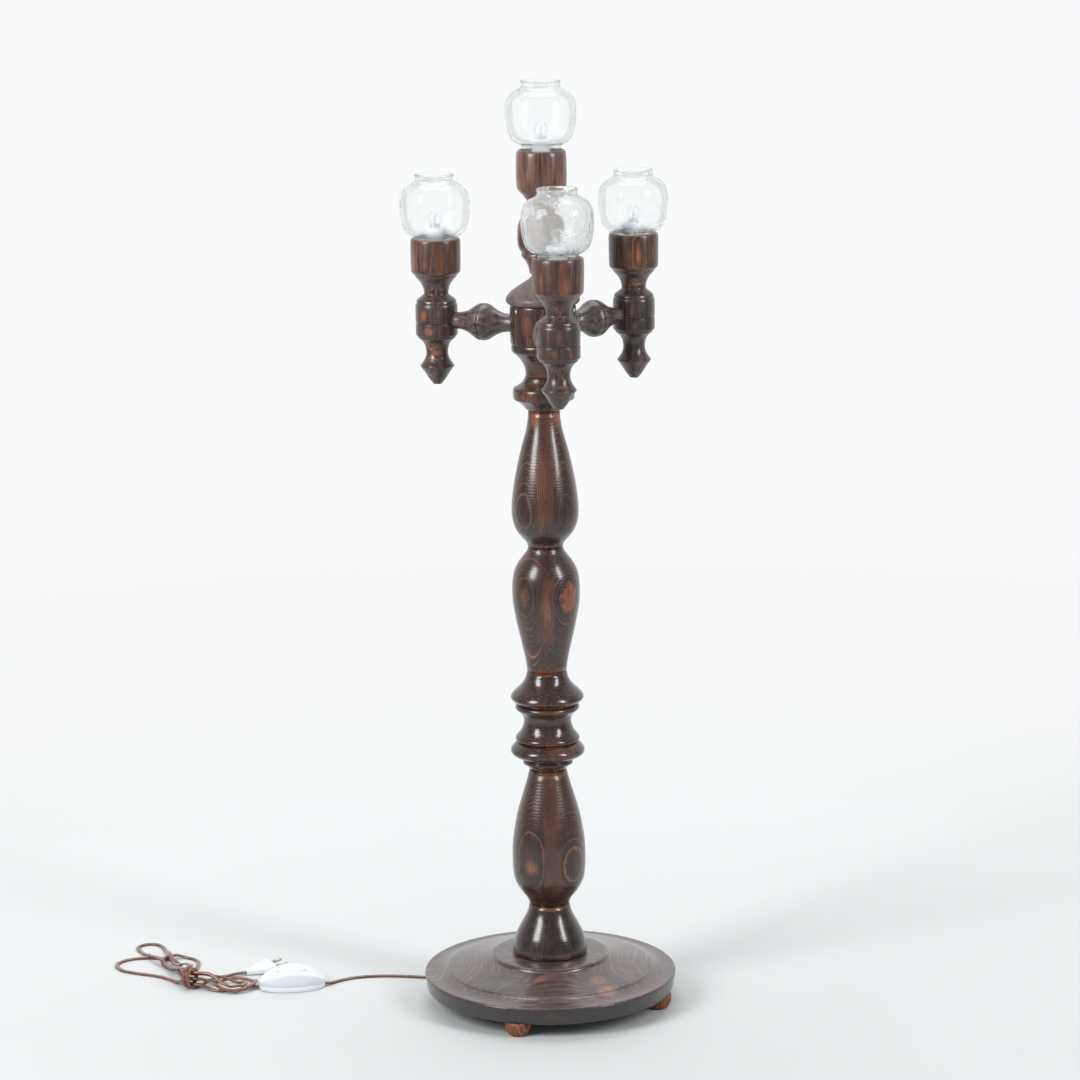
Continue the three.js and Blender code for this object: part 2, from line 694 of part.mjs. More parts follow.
const switchButton = solidOf(ovalPrism(buttonLength, buttonWidth, buttonBottom, switchCrown + 2 * buttonRise))
  .intersect(solidOf(archPrism(switchSeam, buttonRise)));
add("switch_base", geometryOf(switchBase), switchX, switchY, 0, 0);
add("switch_cover", geometryOf(switchCover), switchX, switchY, 0, 0);
add("switch_button", geometryOf(switchButton), switchX, switchY, 0, 0);

// Plug: a flat tapered body with two round pins, its X axis along the pins from the front face
const plugOutline = new THREE.Shape([
  [0, -plugWidth / 2], [0, plugWidth / 2],
  [-plugLength * plugShoulderShare, (plugWidth / 2) * (1 - plugShoulderShare * plugShoulderShare)],
  [-plugLength, plugRearWidth / 2], [-plugLength, -plugRearWidth / 2],
  [-plugLength * plugShoulderShare, (-plugWidth / 2) * (1 - plugShoulderShare * plugShoulderShare)],
].map(([x, y]) => new THREE.Vector2(x, y)));
const plugSide = new THREE.Shape([
  [0, 0], [0, plugFrontThickness],
  [-plugLength * plugWaistShare, plugFrontThickness * plugWaistShare],
  [-plugLength, plugRearThickness], [-plugLength, 0],
].map(([x, y]) => new THREE.Vector2(x, y)));
const plugAxisHeight = plugFrontThickness / 2 + gap;
let plugSolid = solidOf(new THREE.ExtrudeGeometry(plugOutline, {
  depth: plugFrontThickness + gap, bevelEnabled: false,
}).translate(0, 0, gap)).intersect(solidOf(new THREE.ExtrudeGeometry(plugSide, {
  depth: plugWidth, bevelEnabled: false,
}).rotateX(Math.PI / 2).translate(0, plugWidth / 2, gap)));
const plugPinGeometry = rodPiece(plugPinRadius, plugPinLength + plugPinRoot, smallSteps)
  .rotateY(Math.PI / 2)
  .translate(-plugPinRoot, 0, 0)
  .rotateY(-radians(plugTilt));
const plugHoleGeometry = rodPiece(plugPinRadius + plugPinSlack, plugPinLength + plugPinRoot + gap, smallSteps)
  .rotateY(Math.PI / 2)
  .translate(-plugPinRoot - gap, 0, 0)
  .rotateY(-radians(plugTilt));
for (const side of [-1, 1]) {
  plugSolid = plugSolid.subtract(solidOf(
    plugHoleGeometry.clone().translate(0, (side * plugPinSpacing) / 2, plugAxisHeight)));
}
add("plug_body", geometryOf(plugSolid), plugX, plugY, 0, radians(plugTurn));
[-1, 1].forEach((side, i) => {
  const turn = radians(plugTurn);
  const out = (side * plugPinSpacing) / 2;
  add(`plug_pin_${i + 1}`, plugPinGeometry,
    plugX - out * Math.sin(turn), plugY + out * Math.cos(turn), plugAxisHeight, turn);
});

// Hank: the flex runs to and fro through a waist, in long lobes at the rear and short ones at the front,
// each strand laid over the ones before it, then winds round the waist and leaves for the plug
const hankWaist = new THREE.Vector3(hankWaistX, hankWaistY, 0);
const hankAlong = new THREE.Vector3(Math.cos(radians(hankTurn)), Math.sin(radians(hankTurn)), 0);
const hankAcross = new THREE.Vector3(-hankAlong.y, hankAlong.x, 0);

// One lobe: out on its left side, round its end and back on its right side, bent to its left
function lobePoints([turn, length, width, bend]) {
  const way = new THREE.Vector3(Math.cos(radians(turn)), Math.sin(radians(turn)), 0);
  const side = new THREE.Vector3(-way.y, way.x, 0);
  const round = width / 2;
  const straight = length - round;
  const marks = [
    [straight * lobeTaperShare, round * lobeBellyShare],
    [straight, round],
    [straight + round * Math.SQRT1_2, round * Math.SQRT1_2],
    [length, 0],
  ];
  const back = marks.slice(0, -1).reverse().map(([along, out]) => [along, -out]);
  return [...marks, ...back].map(([along, out]) => {
    const shift = bend * (along / length) ** 2;
    return { point: hankWaist.clone().addScaledVector(way, along).addScaledVector(side, out + shift) };
  });
}

// Two points through the waist, where the strands lie side by side. The way is 1 from rear to front
function waistPoints(row, column, way) {
  const middle = hankWaist.clone().addScaledVector(hankAcross, column * hankColumnPitch);
  const rise = waistRise + row * rowPitch;
  return [-way, way].map((side) => ({ point: middle.clone().addScaledVector(hankAlong, side * tieReach), rise }));
}

// A point of the winding round the waist, the turn counted from its top towards the front
function windingPoint(turn) {
  const share = turn / windingTurn;
  const outward = new THREE.Vector3(0, 0, Math.cos(turn)).addScaledVector(hankAcross, -Math.sin(turn));
  const point = hankWaist.clone()
    .setZ(windingRadius + flexHeight)
    .addScaledVector(hankAlong, windingWidth * (share - 1 / 2))
    .addScaledVector(outward, windingRadius);
  return { point, outward, held: true };
}

const windingTurn = radians(windingTurns * 360);
const windingSteps = Math.round(windingTurns * windingStepsPerTurn);
const winding = Array.from({ length: windingSteps + 1 }, (_, i) => windingPoint((i / windingSteps) * windingTurn));
const windingLead = { point: windingPoint(-windingTurn / windingSteps).point };
const down = new THREE.Vector3(0, 0, -1);
const tail = [1 / 2, 1].map((share) => ({
  point: hankWaist.clone()
    .setZ(flexHeight)
    .addScaledVector(hankAlong, windingWidth / 2)
    .addScaledVector(hankAcross, share * tailReach),
  held: true,
}));
const plugWay = new THREE.Vector3(Math.cos(radians(plugTurn)), Math.sin(radians(plugTurn)), 0);
const plugRear = new THREE.Vector3(plugX, plugY, plugRearThickness / 2 + gap)
  .addScaledVector(plugWay, -plugLength - gap);
const outletX = switchX - switchLength / 2;
const held = (x, y, z) => ({ point: new THREE.Vector3(x, y, z), held: true });
const heldAt = (point) => ({ point, held: true });
const laid = ([x, y]) => ({ point: new THREE.Vector3(x, y, 0) });
const hankRoute = [
  held(outletX + switchInletDepth - gap, switchY, switchInletHeight),
  held(outletX - flexWidth, switchY, switchInletHeight),
  ...switchLead.map(laid),
  ...waistPoints(0, -1, -1),
  ...lobePoints(rearLobes[0]),
  ...waistPoints(0, 1, 1),
  ...lobePoints(frontLobes[0]),
  ...waistPoints(1, -1, -1),
  ...lobePoints(rearLobes[1]),
  ...waistPoints(1, 1, 1),
  ...lobePoints(frontLobes[1]),
  ...waistPoints(2, 0, -1),
  ...lobePoints(rearLobes[2]),
  windingLead,
  ...winding,
  ...[...tail, ...plugLead.map(laid), heldAt(plugRear.clone().addScaledVector(plugWay, -flexWidth)), heldAt(plugRear)]
    .map((entry) => ({ ...entry, outward: down })),
];

// Heights by laying: a strand that passes over an earlier one rises over it in a long low hump
const hankCurve = new THREE.CatmullRomCurve3(hankRoute.map(({ point }) => point));
const hankSpans = hankRoute.length - 1;
const layPerSpan = ringsPerSpan * laysPerRing;
const hankStations = Array.from({ length: hankSpans * layPerSpan + 1 }, (_, i) => {
  const span = Math.min(Math.floor(i / layPerSpan), hankSpans - 1);
  const share = i / layPerSpan - span;
  const from = hankRoute[span];
  const to = hankRoute[span + 1];
  const near = share < 1 / 2 ? from : to;
  const isHeld = Boolean(from.held && to.held);
  const outward = new THREE.Vector3(0, 0, 1);
  if (from.outward && to.outward) outward.lerpVectors(from.outward, to.outward, share).normalize();
  const point = hankCurve.getPoint(i / (hankSpans * layPerSpan));
  const atMark = share === 0 || share === 1;
  let need = flexHeight;
  if (isHeld || (near.held && atMark)) need = Math.max(point.z, flexHeight);
  if (near.rise && atMark) need = near.rise;
  return { point, outward, isHeld, need };
});
let run = 0;
let heldCount = 0;
hankStations.forEach((station, i) => {
  if (i > 0) {
    const before = hankStations[i - 1].point;
    run += Math.hypot(station.point.x - before.x, station.point.y - before.y);
  }
  if (station.isHeld) heldCount += 1;
  station.run = run;
  station.heldCount = heldCount;
});

// True where no held stretch lies between a free station and another one
function inOneStretch(station, other) {
  if (other.run <= station.run) return other.heldCount === station.heldCount;
  return other.heldCount - (other.isHeld ? 1 : 0) === station.heldCount;
}

function humpShare(distance, rise) {
  const ramp = humpRamp + humpRampShare * rise;
  const share = THREE.MathUtils.clamp((distance - humpFlat) / ramp, 0, 1);
  return 1 - share * share * (3 - 2 * share);
}

for (let round = 0; round < layRounds; round += 1) {
  for (const station of hankStations) {
    let height = station.need;
    if (!station.isHeld) {
      for (const other of hankStations) {
        const rise = other.need - flexHeight;
        if (rise <= 0 || !inOneStretch(station, other)) continue;
        const share = humpShare(Math.abs(station.run - other.run), rise);
        height = Math.max(height, flexHeight + rise * share);
      }
    }
    station.height = height;
  }
  hankStations.forEach((station, i) => {
    if (station.isHeld) return;
    for (let j = 0; j < i; j += 1) {
      const other = hankStations[j];
      if (station.run - other.run < laySkip) continue;
      const apart = Math.hypot(station.point.x - other.point.x, station.point.y - other.point.y);
      if (apart < layReach) station.need = Math.max(station.need, other.height + layPitch);
    }
  });
}
for (const station of hankStations) station.point.setZ(station.height);

// Directions along the flex, across its width and out of its flat side
hankStations.forEach((station, i) => {
  const before = hankStations[Math.max(i - 1, 0)].point;
  const after = hankStations[Math.min(i + 1, hankStations.length - 1)].point;
  station.way = after.clone().sub(before).normalize();
  station.side = station.outward.clone().cross(station.way).normalize();
  station.up = station.way.clone().cross(station.side);
});

// The least gap of the flex to itself: its flat section is a core line with half the thickness round it
const coreHalf = (flexWidth - flexThickness) / 2;
const cores = hankStations.map(({ point, side }) =>
  [-1, 0, 1].map((share) => point.clone().addScaledVector(side, share * coreHalf)));
let leastGap = Infinity;
hankStations.forEach((station, i) => {
  for (let j = 0; j < i; j += 1) {
    if (station.run - hankStations[j].run < laySkip && !station.isHeld) continue;
    if (i - j < layPerSpan * 3) continue;
    for (const a of cores[i]) {
      for (const b of cores[j]) leastGap = Math.min(leastGap, a.distanceTo(b) - flexThickness);
    }
  }
});
let hankLength = 0;
for (let i = 1; i < hankStations.length; i += 1) {
  hankLength += hankStations[i].point.distanceTo(hankStations[i - 1].point);
}
console.log(`hank: ${hankLength.toFixed(0)} mm of flex, least gap to itself ${leastGap.toFixed(2)} mm`);

// The flex as one tube of six-sided rings
const ringPoints = [
  [sectionY, 0], [coreHalf, sectionX], [-coreHalf, sectionX],
  [-sectionY, 0], [-coreHalf, -sectionX], [coreHalf, -sectionX],
];
function flexTube(stations) {
  const positions = [];
  const faces = [];
  const sides = ringPoints.length;
  stations.forEach(({ point, side, up }, ring) => {
    for (const [across, out] of ringPoints) {
      const corner = point.clone().addScaledVector(side, across).addScaledVector(up, out);
      positions.push(corner.x, corner.y, corner.z);
    }
    if (ring === 0) return;
    for (let k = 0; k < sides; k += 1) {
      const next = (k + 1) % sides;
      const a = (ring - 1) * sides + k;
      const b = (ring - 1) * sides + next;
      const c = ring * sides + k;
      const d = ring * sides + next;
      faces.push(a, b, c, b, d, c);
    }
  });
  const last = (stations.length - 1) * sides;
  for (let k = 1; k < sides - 1; k += 1) faces.push(0, k + 1, k, last, last + k, last + k + 1);
  const geometry = new THREE.BufferGeometry();
  geometry.setAttribute("position", new THREE.BufferAttribute(new Float32Array(positions), 3));
  geometry.setIndex(faces);
  return geometry;
}
const hankRings = hankStations.filter((_, i) => i % laysPerRing === 0);
add("cord_hank", flexTube(hankRings), 0, 0, 0, 0);

export default root;
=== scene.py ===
"""Candlestick floor lamp: the looks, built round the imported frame.

Shapes are in mm from the middle of the column's foot. Camera, lights, floor and bumps are in metres."""
import math

import bmesh
import bpy
import numpy as np
from mathutils import Matrix, Vector


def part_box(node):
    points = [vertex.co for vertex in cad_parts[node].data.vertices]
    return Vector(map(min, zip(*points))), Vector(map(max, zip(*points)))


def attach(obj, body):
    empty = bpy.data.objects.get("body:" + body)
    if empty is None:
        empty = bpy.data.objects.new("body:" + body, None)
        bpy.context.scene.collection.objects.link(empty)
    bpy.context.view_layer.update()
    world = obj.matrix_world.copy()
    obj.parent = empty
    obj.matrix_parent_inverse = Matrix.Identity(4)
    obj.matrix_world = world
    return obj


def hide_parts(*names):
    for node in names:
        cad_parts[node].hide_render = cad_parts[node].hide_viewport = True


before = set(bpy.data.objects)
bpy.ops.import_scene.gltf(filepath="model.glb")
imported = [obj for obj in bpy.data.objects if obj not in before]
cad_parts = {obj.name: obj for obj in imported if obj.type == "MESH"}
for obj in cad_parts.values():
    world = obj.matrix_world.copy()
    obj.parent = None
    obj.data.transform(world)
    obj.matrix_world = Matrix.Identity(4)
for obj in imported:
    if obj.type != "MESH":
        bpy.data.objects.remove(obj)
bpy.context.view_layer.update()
MM = 0.001

# Places that several pieces share
base_low, base_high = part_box("base_disc")
COLUMN = Vector(((base_low.x + base_high.x) / 2, (base_low.y + base_high.y) / 2, 0))
ARM_DEGREES = [-90, 30, 150]
ARM_REACH = 141.2
ARM_AXIS_HEIGHT = 856.0
ARM_CUP_HEIGHT = 956.5
CENTRE_CUP_HEIGHT = 1068.1
LEAD_DEGREES = 141

# Camera at the photograph's viewing angle
FOCAL_PX, FRAME_PX, SENSOR_WIDTH = 3660.85, 1080, 36
CAMERA_DISTANCE, CAMERA_HEIGHT = 4.39274, 1.51337
CAMERA_TURN, CAMERA_YAW, CAMERA_PITCH, CAMERA_ROLL = 7.32, -0.0873, 11.8768, -0.6693


def link(name, data):
    made = bpy.data.objects.new(name, data)
    bpy.context.scene.collection.objects.link(made)
    return made


def from_front(side, back, up):
    """A place in metres beside, behind and above the column's foot, as seen from the lamp's shown side."""
    turn = math.radians(CAMERA_TURN)
    x = side * math.cos(turn) + back * math.sin(turn)
    y = back * math.cos(turn) - side * math.sin(turn)
    return COLUMN + Vector((x, y, up))


def make_camera():
    heading, pitch, roll = (math.radians(d) for d in (CAMERA_TURN + CAMERA_YAW, CAMERA_PITCH, CAMERA_ROLL))
    level = math.cos(pitch)
    forward = Vector((math.sin(heading) * level, math.cos(heading) * level, -math.sin(pitch)))
    right = Vector((math.cos(heading), -math.sin(heading), 0))
    up = right.cross(forward)
    right, up = right * math.cos(roll) + up * math.sin(roll), up * math.cos(roll) - right * math.sin(roll)
    data = bpy.data.cameras.new("camera")
    data.sensor_width = SENSOR_WIDTH
    data.lens = FOCAL_PX / FRAME_PX * SENSOR_WIDTH
    data.clip_end = 60
    camera = link("camera", data)
    matrix = Matrix((right, up, -forward)).transposed().to_4x4()
    matrix.translation = from_front(0, -CAMERA_DISTANCE, CAMERA_HEIGHT)
    camera.matrix_world = matrix
    bpy.context.scene.camera = camera


make_camera()


# Places and turns
def polar(degrees, reach=1.0, height=0.0):
    """A place at a reach from the column's axis, turned from the X axis."""
    turn = math.radians(degrees)
    return np.array([reach * math.cos(turn), reach * math.sin(turn), height])


def spun(degrees):
    return Matrix.Rotation(math.radians(degrees), 4, "Z")


# Tips an upright piece until it points along X
TIPPED = Matrix.Rotation(math.radians(90), 4, "Y")
AXIS = (0, 0, 0)


def place(piece, at, rotation=Matrix()):
    piece.matrix_world = Matrix.Translation(COLUMN + Vector(at) * MM) @ rotation
    return piece


def own(piece, material, slot, *nodes, body="stand"):
    """Gives a piece its material and body, and hides the nodes that it stands for. slot is not used."""
    piece.data.materials.clear()
    piece.data.materials.append(material)
    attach(piece, body)
    if nodes:
        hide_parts(*nodes)


# Mesh helpers
def new_object(name, verts, faces):
    mesh = bpy.data.meshes.new(name)
    mesh.from_pydata([tuple(v) for v in verts], [], faces)
    mesh.validate()
    mesh.update()
    mesh.polygons.foreach_set("use_smooth", [True] * len(mesh.polygons))
    return link(name, mesh)


def corner_angle(a, b, c):
    u, v = b - a, c - b
    cosine = float(u @ v) / (np.linalg.norm(u) * np.linalg.norm(v) + 1e-12)
    return math.degrees(math.acos(max(-1, min(1, cosine))))


def catmull(points, steps):
    """A centripetal curve through points, with `steps` parts to each span."""
    p = np.asarray(points, float)
    ends = np.vstack([2 * p[0] - p[1], p, 2 * p[-1] - p[-2]])
    out = []
    for i in range(1, len(ends) - 2):
        p0, p1, p2, p3 = ends[i - 1:i + 3]
        d0, d1, d2 = (max(float(np.linalg.norm(step)) ** 0.5, 1e-4) for step in (p1 - p0, p2 - p1, p3 - p2))
        t1 = ((p1 - p0) / d0 - (p2 - p0) / (d0 + d1) + (p2 - p1) / d1) * d1
        t2 = ((p2 - p1) / d1 - (p3 - p1) / (d1 + d2) + (p3 - p2) / d2) * d1
        bow, twist = 3 * (p2 - p1) - 2 * t1 - t2, 2 * (p1 - p2) + t1 + t2
        out += [p1 + t1 * t + bow * t * t + twist * t ** 3 for t in (k / steps for k in range(steps))]
    out.append(p[-1])
    return np.array(out)


def resample(line, spacing):
    run = np.concatenate([[0], np.cumsum(np.linalg.norm(np.diff(line, axis=0), axis=1))])
    count = max(int(round(run[-1] / spacing)), 2)
    at = np.linspace(0, run[-1], count + 1)
    return np.stack([np.interp(at, run, column) for column in line.T], 1)


def simplify(line, tolerance):
    """Keeps only the points that the line needs to stay within a tolerance of its shape."""
    keep = [0, len(line) - 1]
    stack = [(0, len(line) - 1)]
    while stack:
        a, b = stack.pop()
        if b - a < 2:
            continue
        chord = line[b] - line[a]
        rel = line[a + 1:b] - line[a]
        off = np.abs(rel[:, 0] * chord[1] - rel[:, 1] * chord[0]) / (np.linalg.norm(chord) + 1e-12)
        k = int(off.argmax())
        if off[k] > tolerance:
            keep.append(a + 1 + k)
            stack += [(a, a + 1 + k), (a + 1 + k, b)]
    return line[sorted(keep)]


OUTLINE_STEP, OUTLINE_TOLERANCE = 0.25, 0.02


def smooth_outline(text, sharp=38, soft=0.45):
    """Outline text 'up:out ...' as a smooth line of [out, up] points.

    A turn of more than sharp degrees is a corner, and all corners are rounded over about soft mm."""
    marks = np.array([[float(v) for v in pair.split(":")][::-1] for pair in text.split()])
    corners = [i for i in range(1, len(marks) - 1) if corner_angle(*marks[i - 1:i + 2]) > sharp]
    cuts = [0, *corners, len(marks) - 1]
    line = [marks[:1]]
    for a, b in zip(cuts, cuts[1:]):
        part = marks[a:b + 1]
        line.append(catmull(part, 10)[1:] if len(part) > 2 else part[1:])
    line = resample(np.vstack(line), OUTLINE_STEP)
    reach = max(int(round(soft / OUTLINE_STEP)), 1)
    for _ in range(3):
        padded = np.vstack([np.repeat(line[:1], reach, 0), line, np.repeat(line[-1:], reach, 0)])
        middle = np.mean([padded[k:k + len(line)] for k in range(2 * reach + 1)], axis=0)
        line = np.vstack([line[:1], middle[1:-1], line[-1:]])
    return simplify(line, OUTLINE_TOLERANCE)


def lathe(name, line, segments=96, closed=False, wobble=None):
    """Turns [out, up] points about Z. Ends on the axis close themselves, and others are joined if closed."""
    verts, rings, faces = [], [], []
    for out, up in line:
        if out < 1e-6:
            rings.append([len(verts)])
            verts.append((0, 0, up * MM))
            continue
        rings.append(list(range(len(verts), len(verts) + segments)))
        for k in range(segments):
            t = 2 * math.pi * k / segments
            r = out * (wobble(t, out, up) if wobble else 1)
            verts.append((r * math.cos(t) * MM, r * math.sin(t) * MM, up * MM))
    pairs = list(zip(rings, rings[1:]))
    if closed:
        pairs.append((rings[-1], rings[0]))
    for a, b in pairs:
        for k in range(segments):
            n = k + 1
            corners = dict.fromkeys([a[k % len(a)], a[n % len(a)], b[n % len(b)], b[k % len(b)]])
            if len(corners) > 2:
                faces.append(tuple(corners))
    return new_object(name, verts, faces)


def turned(name, outline, head=None, soft=0.45):
    """A turned solid, closed to the axis at its foot, and at its head by extra [out, up] points."""
    line = smooth_outline(outline, soft=soft)
    return lathe(name, np.vstack([[[0, line[0][1]]], line, head or [[0, line[-1][1]]]]))


def skin(name, rings):
    """A closed skin over rings of points that follow one another, with both end rings filled."""
    count = len(rings[0])
    verts = np.vstack(rings) * MM
    faces = []
    for a in range(0, len(verts) - count, count):
        b = a + count
        faces += [(a + k, a + (k + 1) % count, b + (k + 1) % count, b + k) for k in range(count)]
    faces += [tuple(range(count - 1, -1, -1)), tuple(range(len(verts) - count, len(verts)))]
    return new_object(name, verts, faces)


def tube(name, points, section, outwards):
    """A section of (across, out) points along a line, each with its own way outwards."""
    rings = []
    for i, p in enumerate(points):
        way = points[min(i + 1, len(points) - 1)] - points[max(i - 1, 0)]
        way /= np.linalg.norm(way)
        side = np.cross(outwards[i], way)
        side /= np.linalg.norm(side)
        up = np.cross(way, side)
        rings.append([p + side * across + up * out for across, out in section])
    return skin(name, rings)


def block(name, size, centre, bevel=0.0):
    """A box, with its edges rounded where a bevel is given."""
    shape = bmesh.new()
    bmesh.ops.create_cube(shape, size=1)
    bmesh.ops.scale(shape, vec=Vector(size) * MM, verts=shape.verts)
    if bevel:
        bmesh.ops.bevel(shape, geom=shape.edges[:], offset=bevel * MM, segments=3, affect="EDGES")
    bmesh.ops.translate(shape, vec=Vector(centre) * MM, verts=shape.verts)
    mesh = bpy.data.meshes.new(name)
    shape.to_mesh(mesh)
    shape.free()
    return link(name, mesh)


# Colours are hex text, and node inputs take their linear values
def rgba(text):
    values = [int(text[i:i + 2], 16) / 255 for i in (0, 2, 4)]
    return (*(v / 12.92 if v <= 0.04045 else ((v + 0.055) / 1.055) ** 2.4 for v in values), 1)


class Field:
    """What a node gives out. Arithmetic on it adds Math nodes."""

    def __init__(self, nodes, socket):
        self.math, self.socket = nodes.math, socket

    def __add__(self, other):
        return self.math("ADD", self, other)

    def __sub__(self, other):
        return self.math("SUBTRACT", self, other)

    def __rsub__(self, other):
        return self.math("SUBTRACT", other, self)

    def __mul__(self, other):
        return self.math("MULTIPLY", self, other)

    def __truediv__(self, other):
        return self.math("DIVIDE", self, other)

    def __abs__(self):
        return self.math("ABSOLUTE", self)

    __radd__, __rmul__ = __add__, __mul__


class Nodes:
    """Short ways to add nodes to a tree and to join them."""

    def __init__(self, tree):
        self.tree = tree

    def node(self, kind, **props):
        made = self.tree.nodes.new(kind)
        for key, value in props.items():
            setattr(made, key, value)
        return made

    def put(self, socket, value):
        if isinstance(value, Field):
            self.tree.links.new(value.socket, socket)
        else:
            socket.default_value = rgba(value) if isinstance(value, str) else value

    def fill(self, made, *values):
        """Puts values into a node's first inputs, and gives its first output."""
        for socket, value in zip(made.inputs, values):
            self.put(socket, value)
        return Field(self, made.outputs[0])

    def coordinates(self, kind):
        return Field(self, self.node("ShaderNodeTexCoord").outputs[kind])

    def math(self, operation, a, b=0.0):
        return self.fill(self.node("ShaderNodeMath", operation=operation), a, b)

    def vector(self, operation, a, b=(0, 0, 0)):
        made = self.node("ShaderNodeVectorMath", operation=operation)
        self.fill(made, a, b)
        return Field(self, made.outputs["Value" if operation in ("LENGTH", "DOT_PRODUCT") else "Vector"])

    def axes(self, vector):
        made = self.node("ShaderNodeSeparateXYZ")
        self.put(made.inputs[0], vector)
        return [Field(self, socket) for socket in made.outputs]

    def join(self, x, y, z):
        return self.fill(self.node("ShaderNodeCombineXYZ"), x, y, z)

    def noise(self, at, scale=1.0, detail=2.0, rough=0.5, dims="3D"):
        made = self.node("ShaderNodeTexNoise", noise_dimensions=dims)
        values = {"W" if dims == "1D" else "Vector": at, "Scale": scale, "Detail": detail, "Roughness": rough}
        for key, value in values.items():
            self.put(made.inputs[key], value)
        return Field(self, made.outputs["Fac"])

    def random(self, value):
        """One random number for each whole number."""
        made = self.node("ShaderNodeTexWhiteNoise", noise_dimensions="1D")
        self.put(made.inputs["W"], value)
        return Field(self, made.outputs["Value"])

    def ramp(self, value, stops):
        """A smooth run through (place, value) stops."""
        made = self.node("ShaderNodeValToRGB")
        items = made.color_ramp.elements
        while len(items) < len(stops):
            items.new(0.5)
        for item, (at, grey) in zip(items, stops):
            item.position = at
            item.color = (grey, grey, grey, 1)
        return self.fill(made, value)

    def range(self, value, low, high, to_low=0.0, to_high=1.0, smooth=False):
        made = self.node("ShaderNodeMapRange", interpolation_type="SMOOTHSTEP" if smooth else "LINEAR")
        return self.fill(made, value, low, high, to_low, to_high)

    def choose(self, where, yes, no):
        return where * (yes - no) + no

    def mix(self, share, a, b, blend="MIX"):
        made = self.node("ShaderNodeMix", data_type="RGBA", blend_type=blend)
        colours = [socket for socket in made.inputs if socket.type == "RGBA"]
        for socket, value in zip((made.inputs["Factor"], *colours), (share, a, b)):
            self.put(socket, value)
        return Field(self, next(socket for socket in made.outputs if socket.type == "RGBA"))

    def toned(self, colour, tone):
        """A colour made lighter or darker by a factor."""
        return self.mix(1.0, colour, self.join(tone, tone, tone), "MULTIPLY")

    def bump(self, height, strength, distance, after=None):
        made = self.node("ShaderNodeBump")
        for key, value in {"Strength": strength, "Distance": distance, "Height": height}.items():
            self.put(made.inputs[key], value)
        if after:
            self.put(made.inputs["Normal"], after)
        return Field(self, made.outputs[0])


class Shade(Nodes):
    """A material, with its surface and its places in the piece, in metres and in mm."""

    def __init__(self, name):
        self.material = bpy.data.materials.new(name)
        self.material.use_nodes = True
        super().__init__(self.material.node_tree)
        self.tree.nodes.clear()
        self.surface = self.node("ShaderNodeBsdfPrincipled")
        self.tree.links.new(self.surface.outputs[0], self.node("ShaderNodeOutputMaterial").inputs[0])
        self.local = self.coordinates("Object")
        self.mm = self.vector("MULTIPLY", self.local, (1000, 1000, 1000))

    def set(self, **values):
        for key, value in values.items():
            self.put(self.surface.inputs[key.replace("_", " ")], value)
        return self.material


# The layers in the wood face the lamp's shown side
SHOWN_TURN = -CAMERA_TURN


class Wood(Shade):
    """Stained, lacquered softwood, with what its two kinds of figure share. Its grain runs along Z."""

    def __init__(self, name, turn, shift):
        super().__init__(name)
        self.seed = 37.0 * shift
        self.x, self.y, self.z = self.axes(self.mm)
        self.height = self.z
        c, n = math.cos(math.radians(turn)), math.sin(math.radians(turn))
        self.u = self.x * c + self.y * n
        self.v = self.x * -n + self.y * c

    def grain(self, across, along, offset=0.0):
        """A place in the wood, scaled by a rate across the grain and one along it."""
        return self.join(self.x * across + (self.seed + offset), self.y * across, self.z * along)

    def layers(self, lean, fold):
        """How far out a place lies, counted across layers that slope away on both sides of the middle."""
        wide, deep = math.sin(math.radians(lean)), math.cos(math.radians(lean))
        return self.math("SQRT", self.u * self.u + fold) * wide + abs(self.v) * deep

    def blotted(self, warm, blots, broad, fine):
        """Adds warm patches, each (x, y, z, reach across, reach up, strength), streaked along the grain."""
        for x, y, z, across, up, strength in blots:
            away = self.vector("SUBTRACT", self.mm, (x, y, z))
            away = self.vector("MULTIPLY", away, (1 / across, 1 / across, 1 / up))
            edge = self.vector("LENGTH", away) + (broad - 0.5) * 1.6
            streaks = self.range(fine, 0.25, 0.6, 0.35, 1)
            warm = self.math("MAXIMUM", warm, self.range(edge, 0.45, 1.1, strength, 0, smooth=True) * streaks)
        return self.math("MINIMUM", warm, 1.0)

    def rippled(self, normal, phase, patches, height):
        """Adds the shallow ripples round the turned wood, which come and go."""
        wave = self.math("SINE", phase) * self.range(patches, 0.35, 0.65, 0.1, 1)
        return self.bump(wave, 1.0, height, normal)


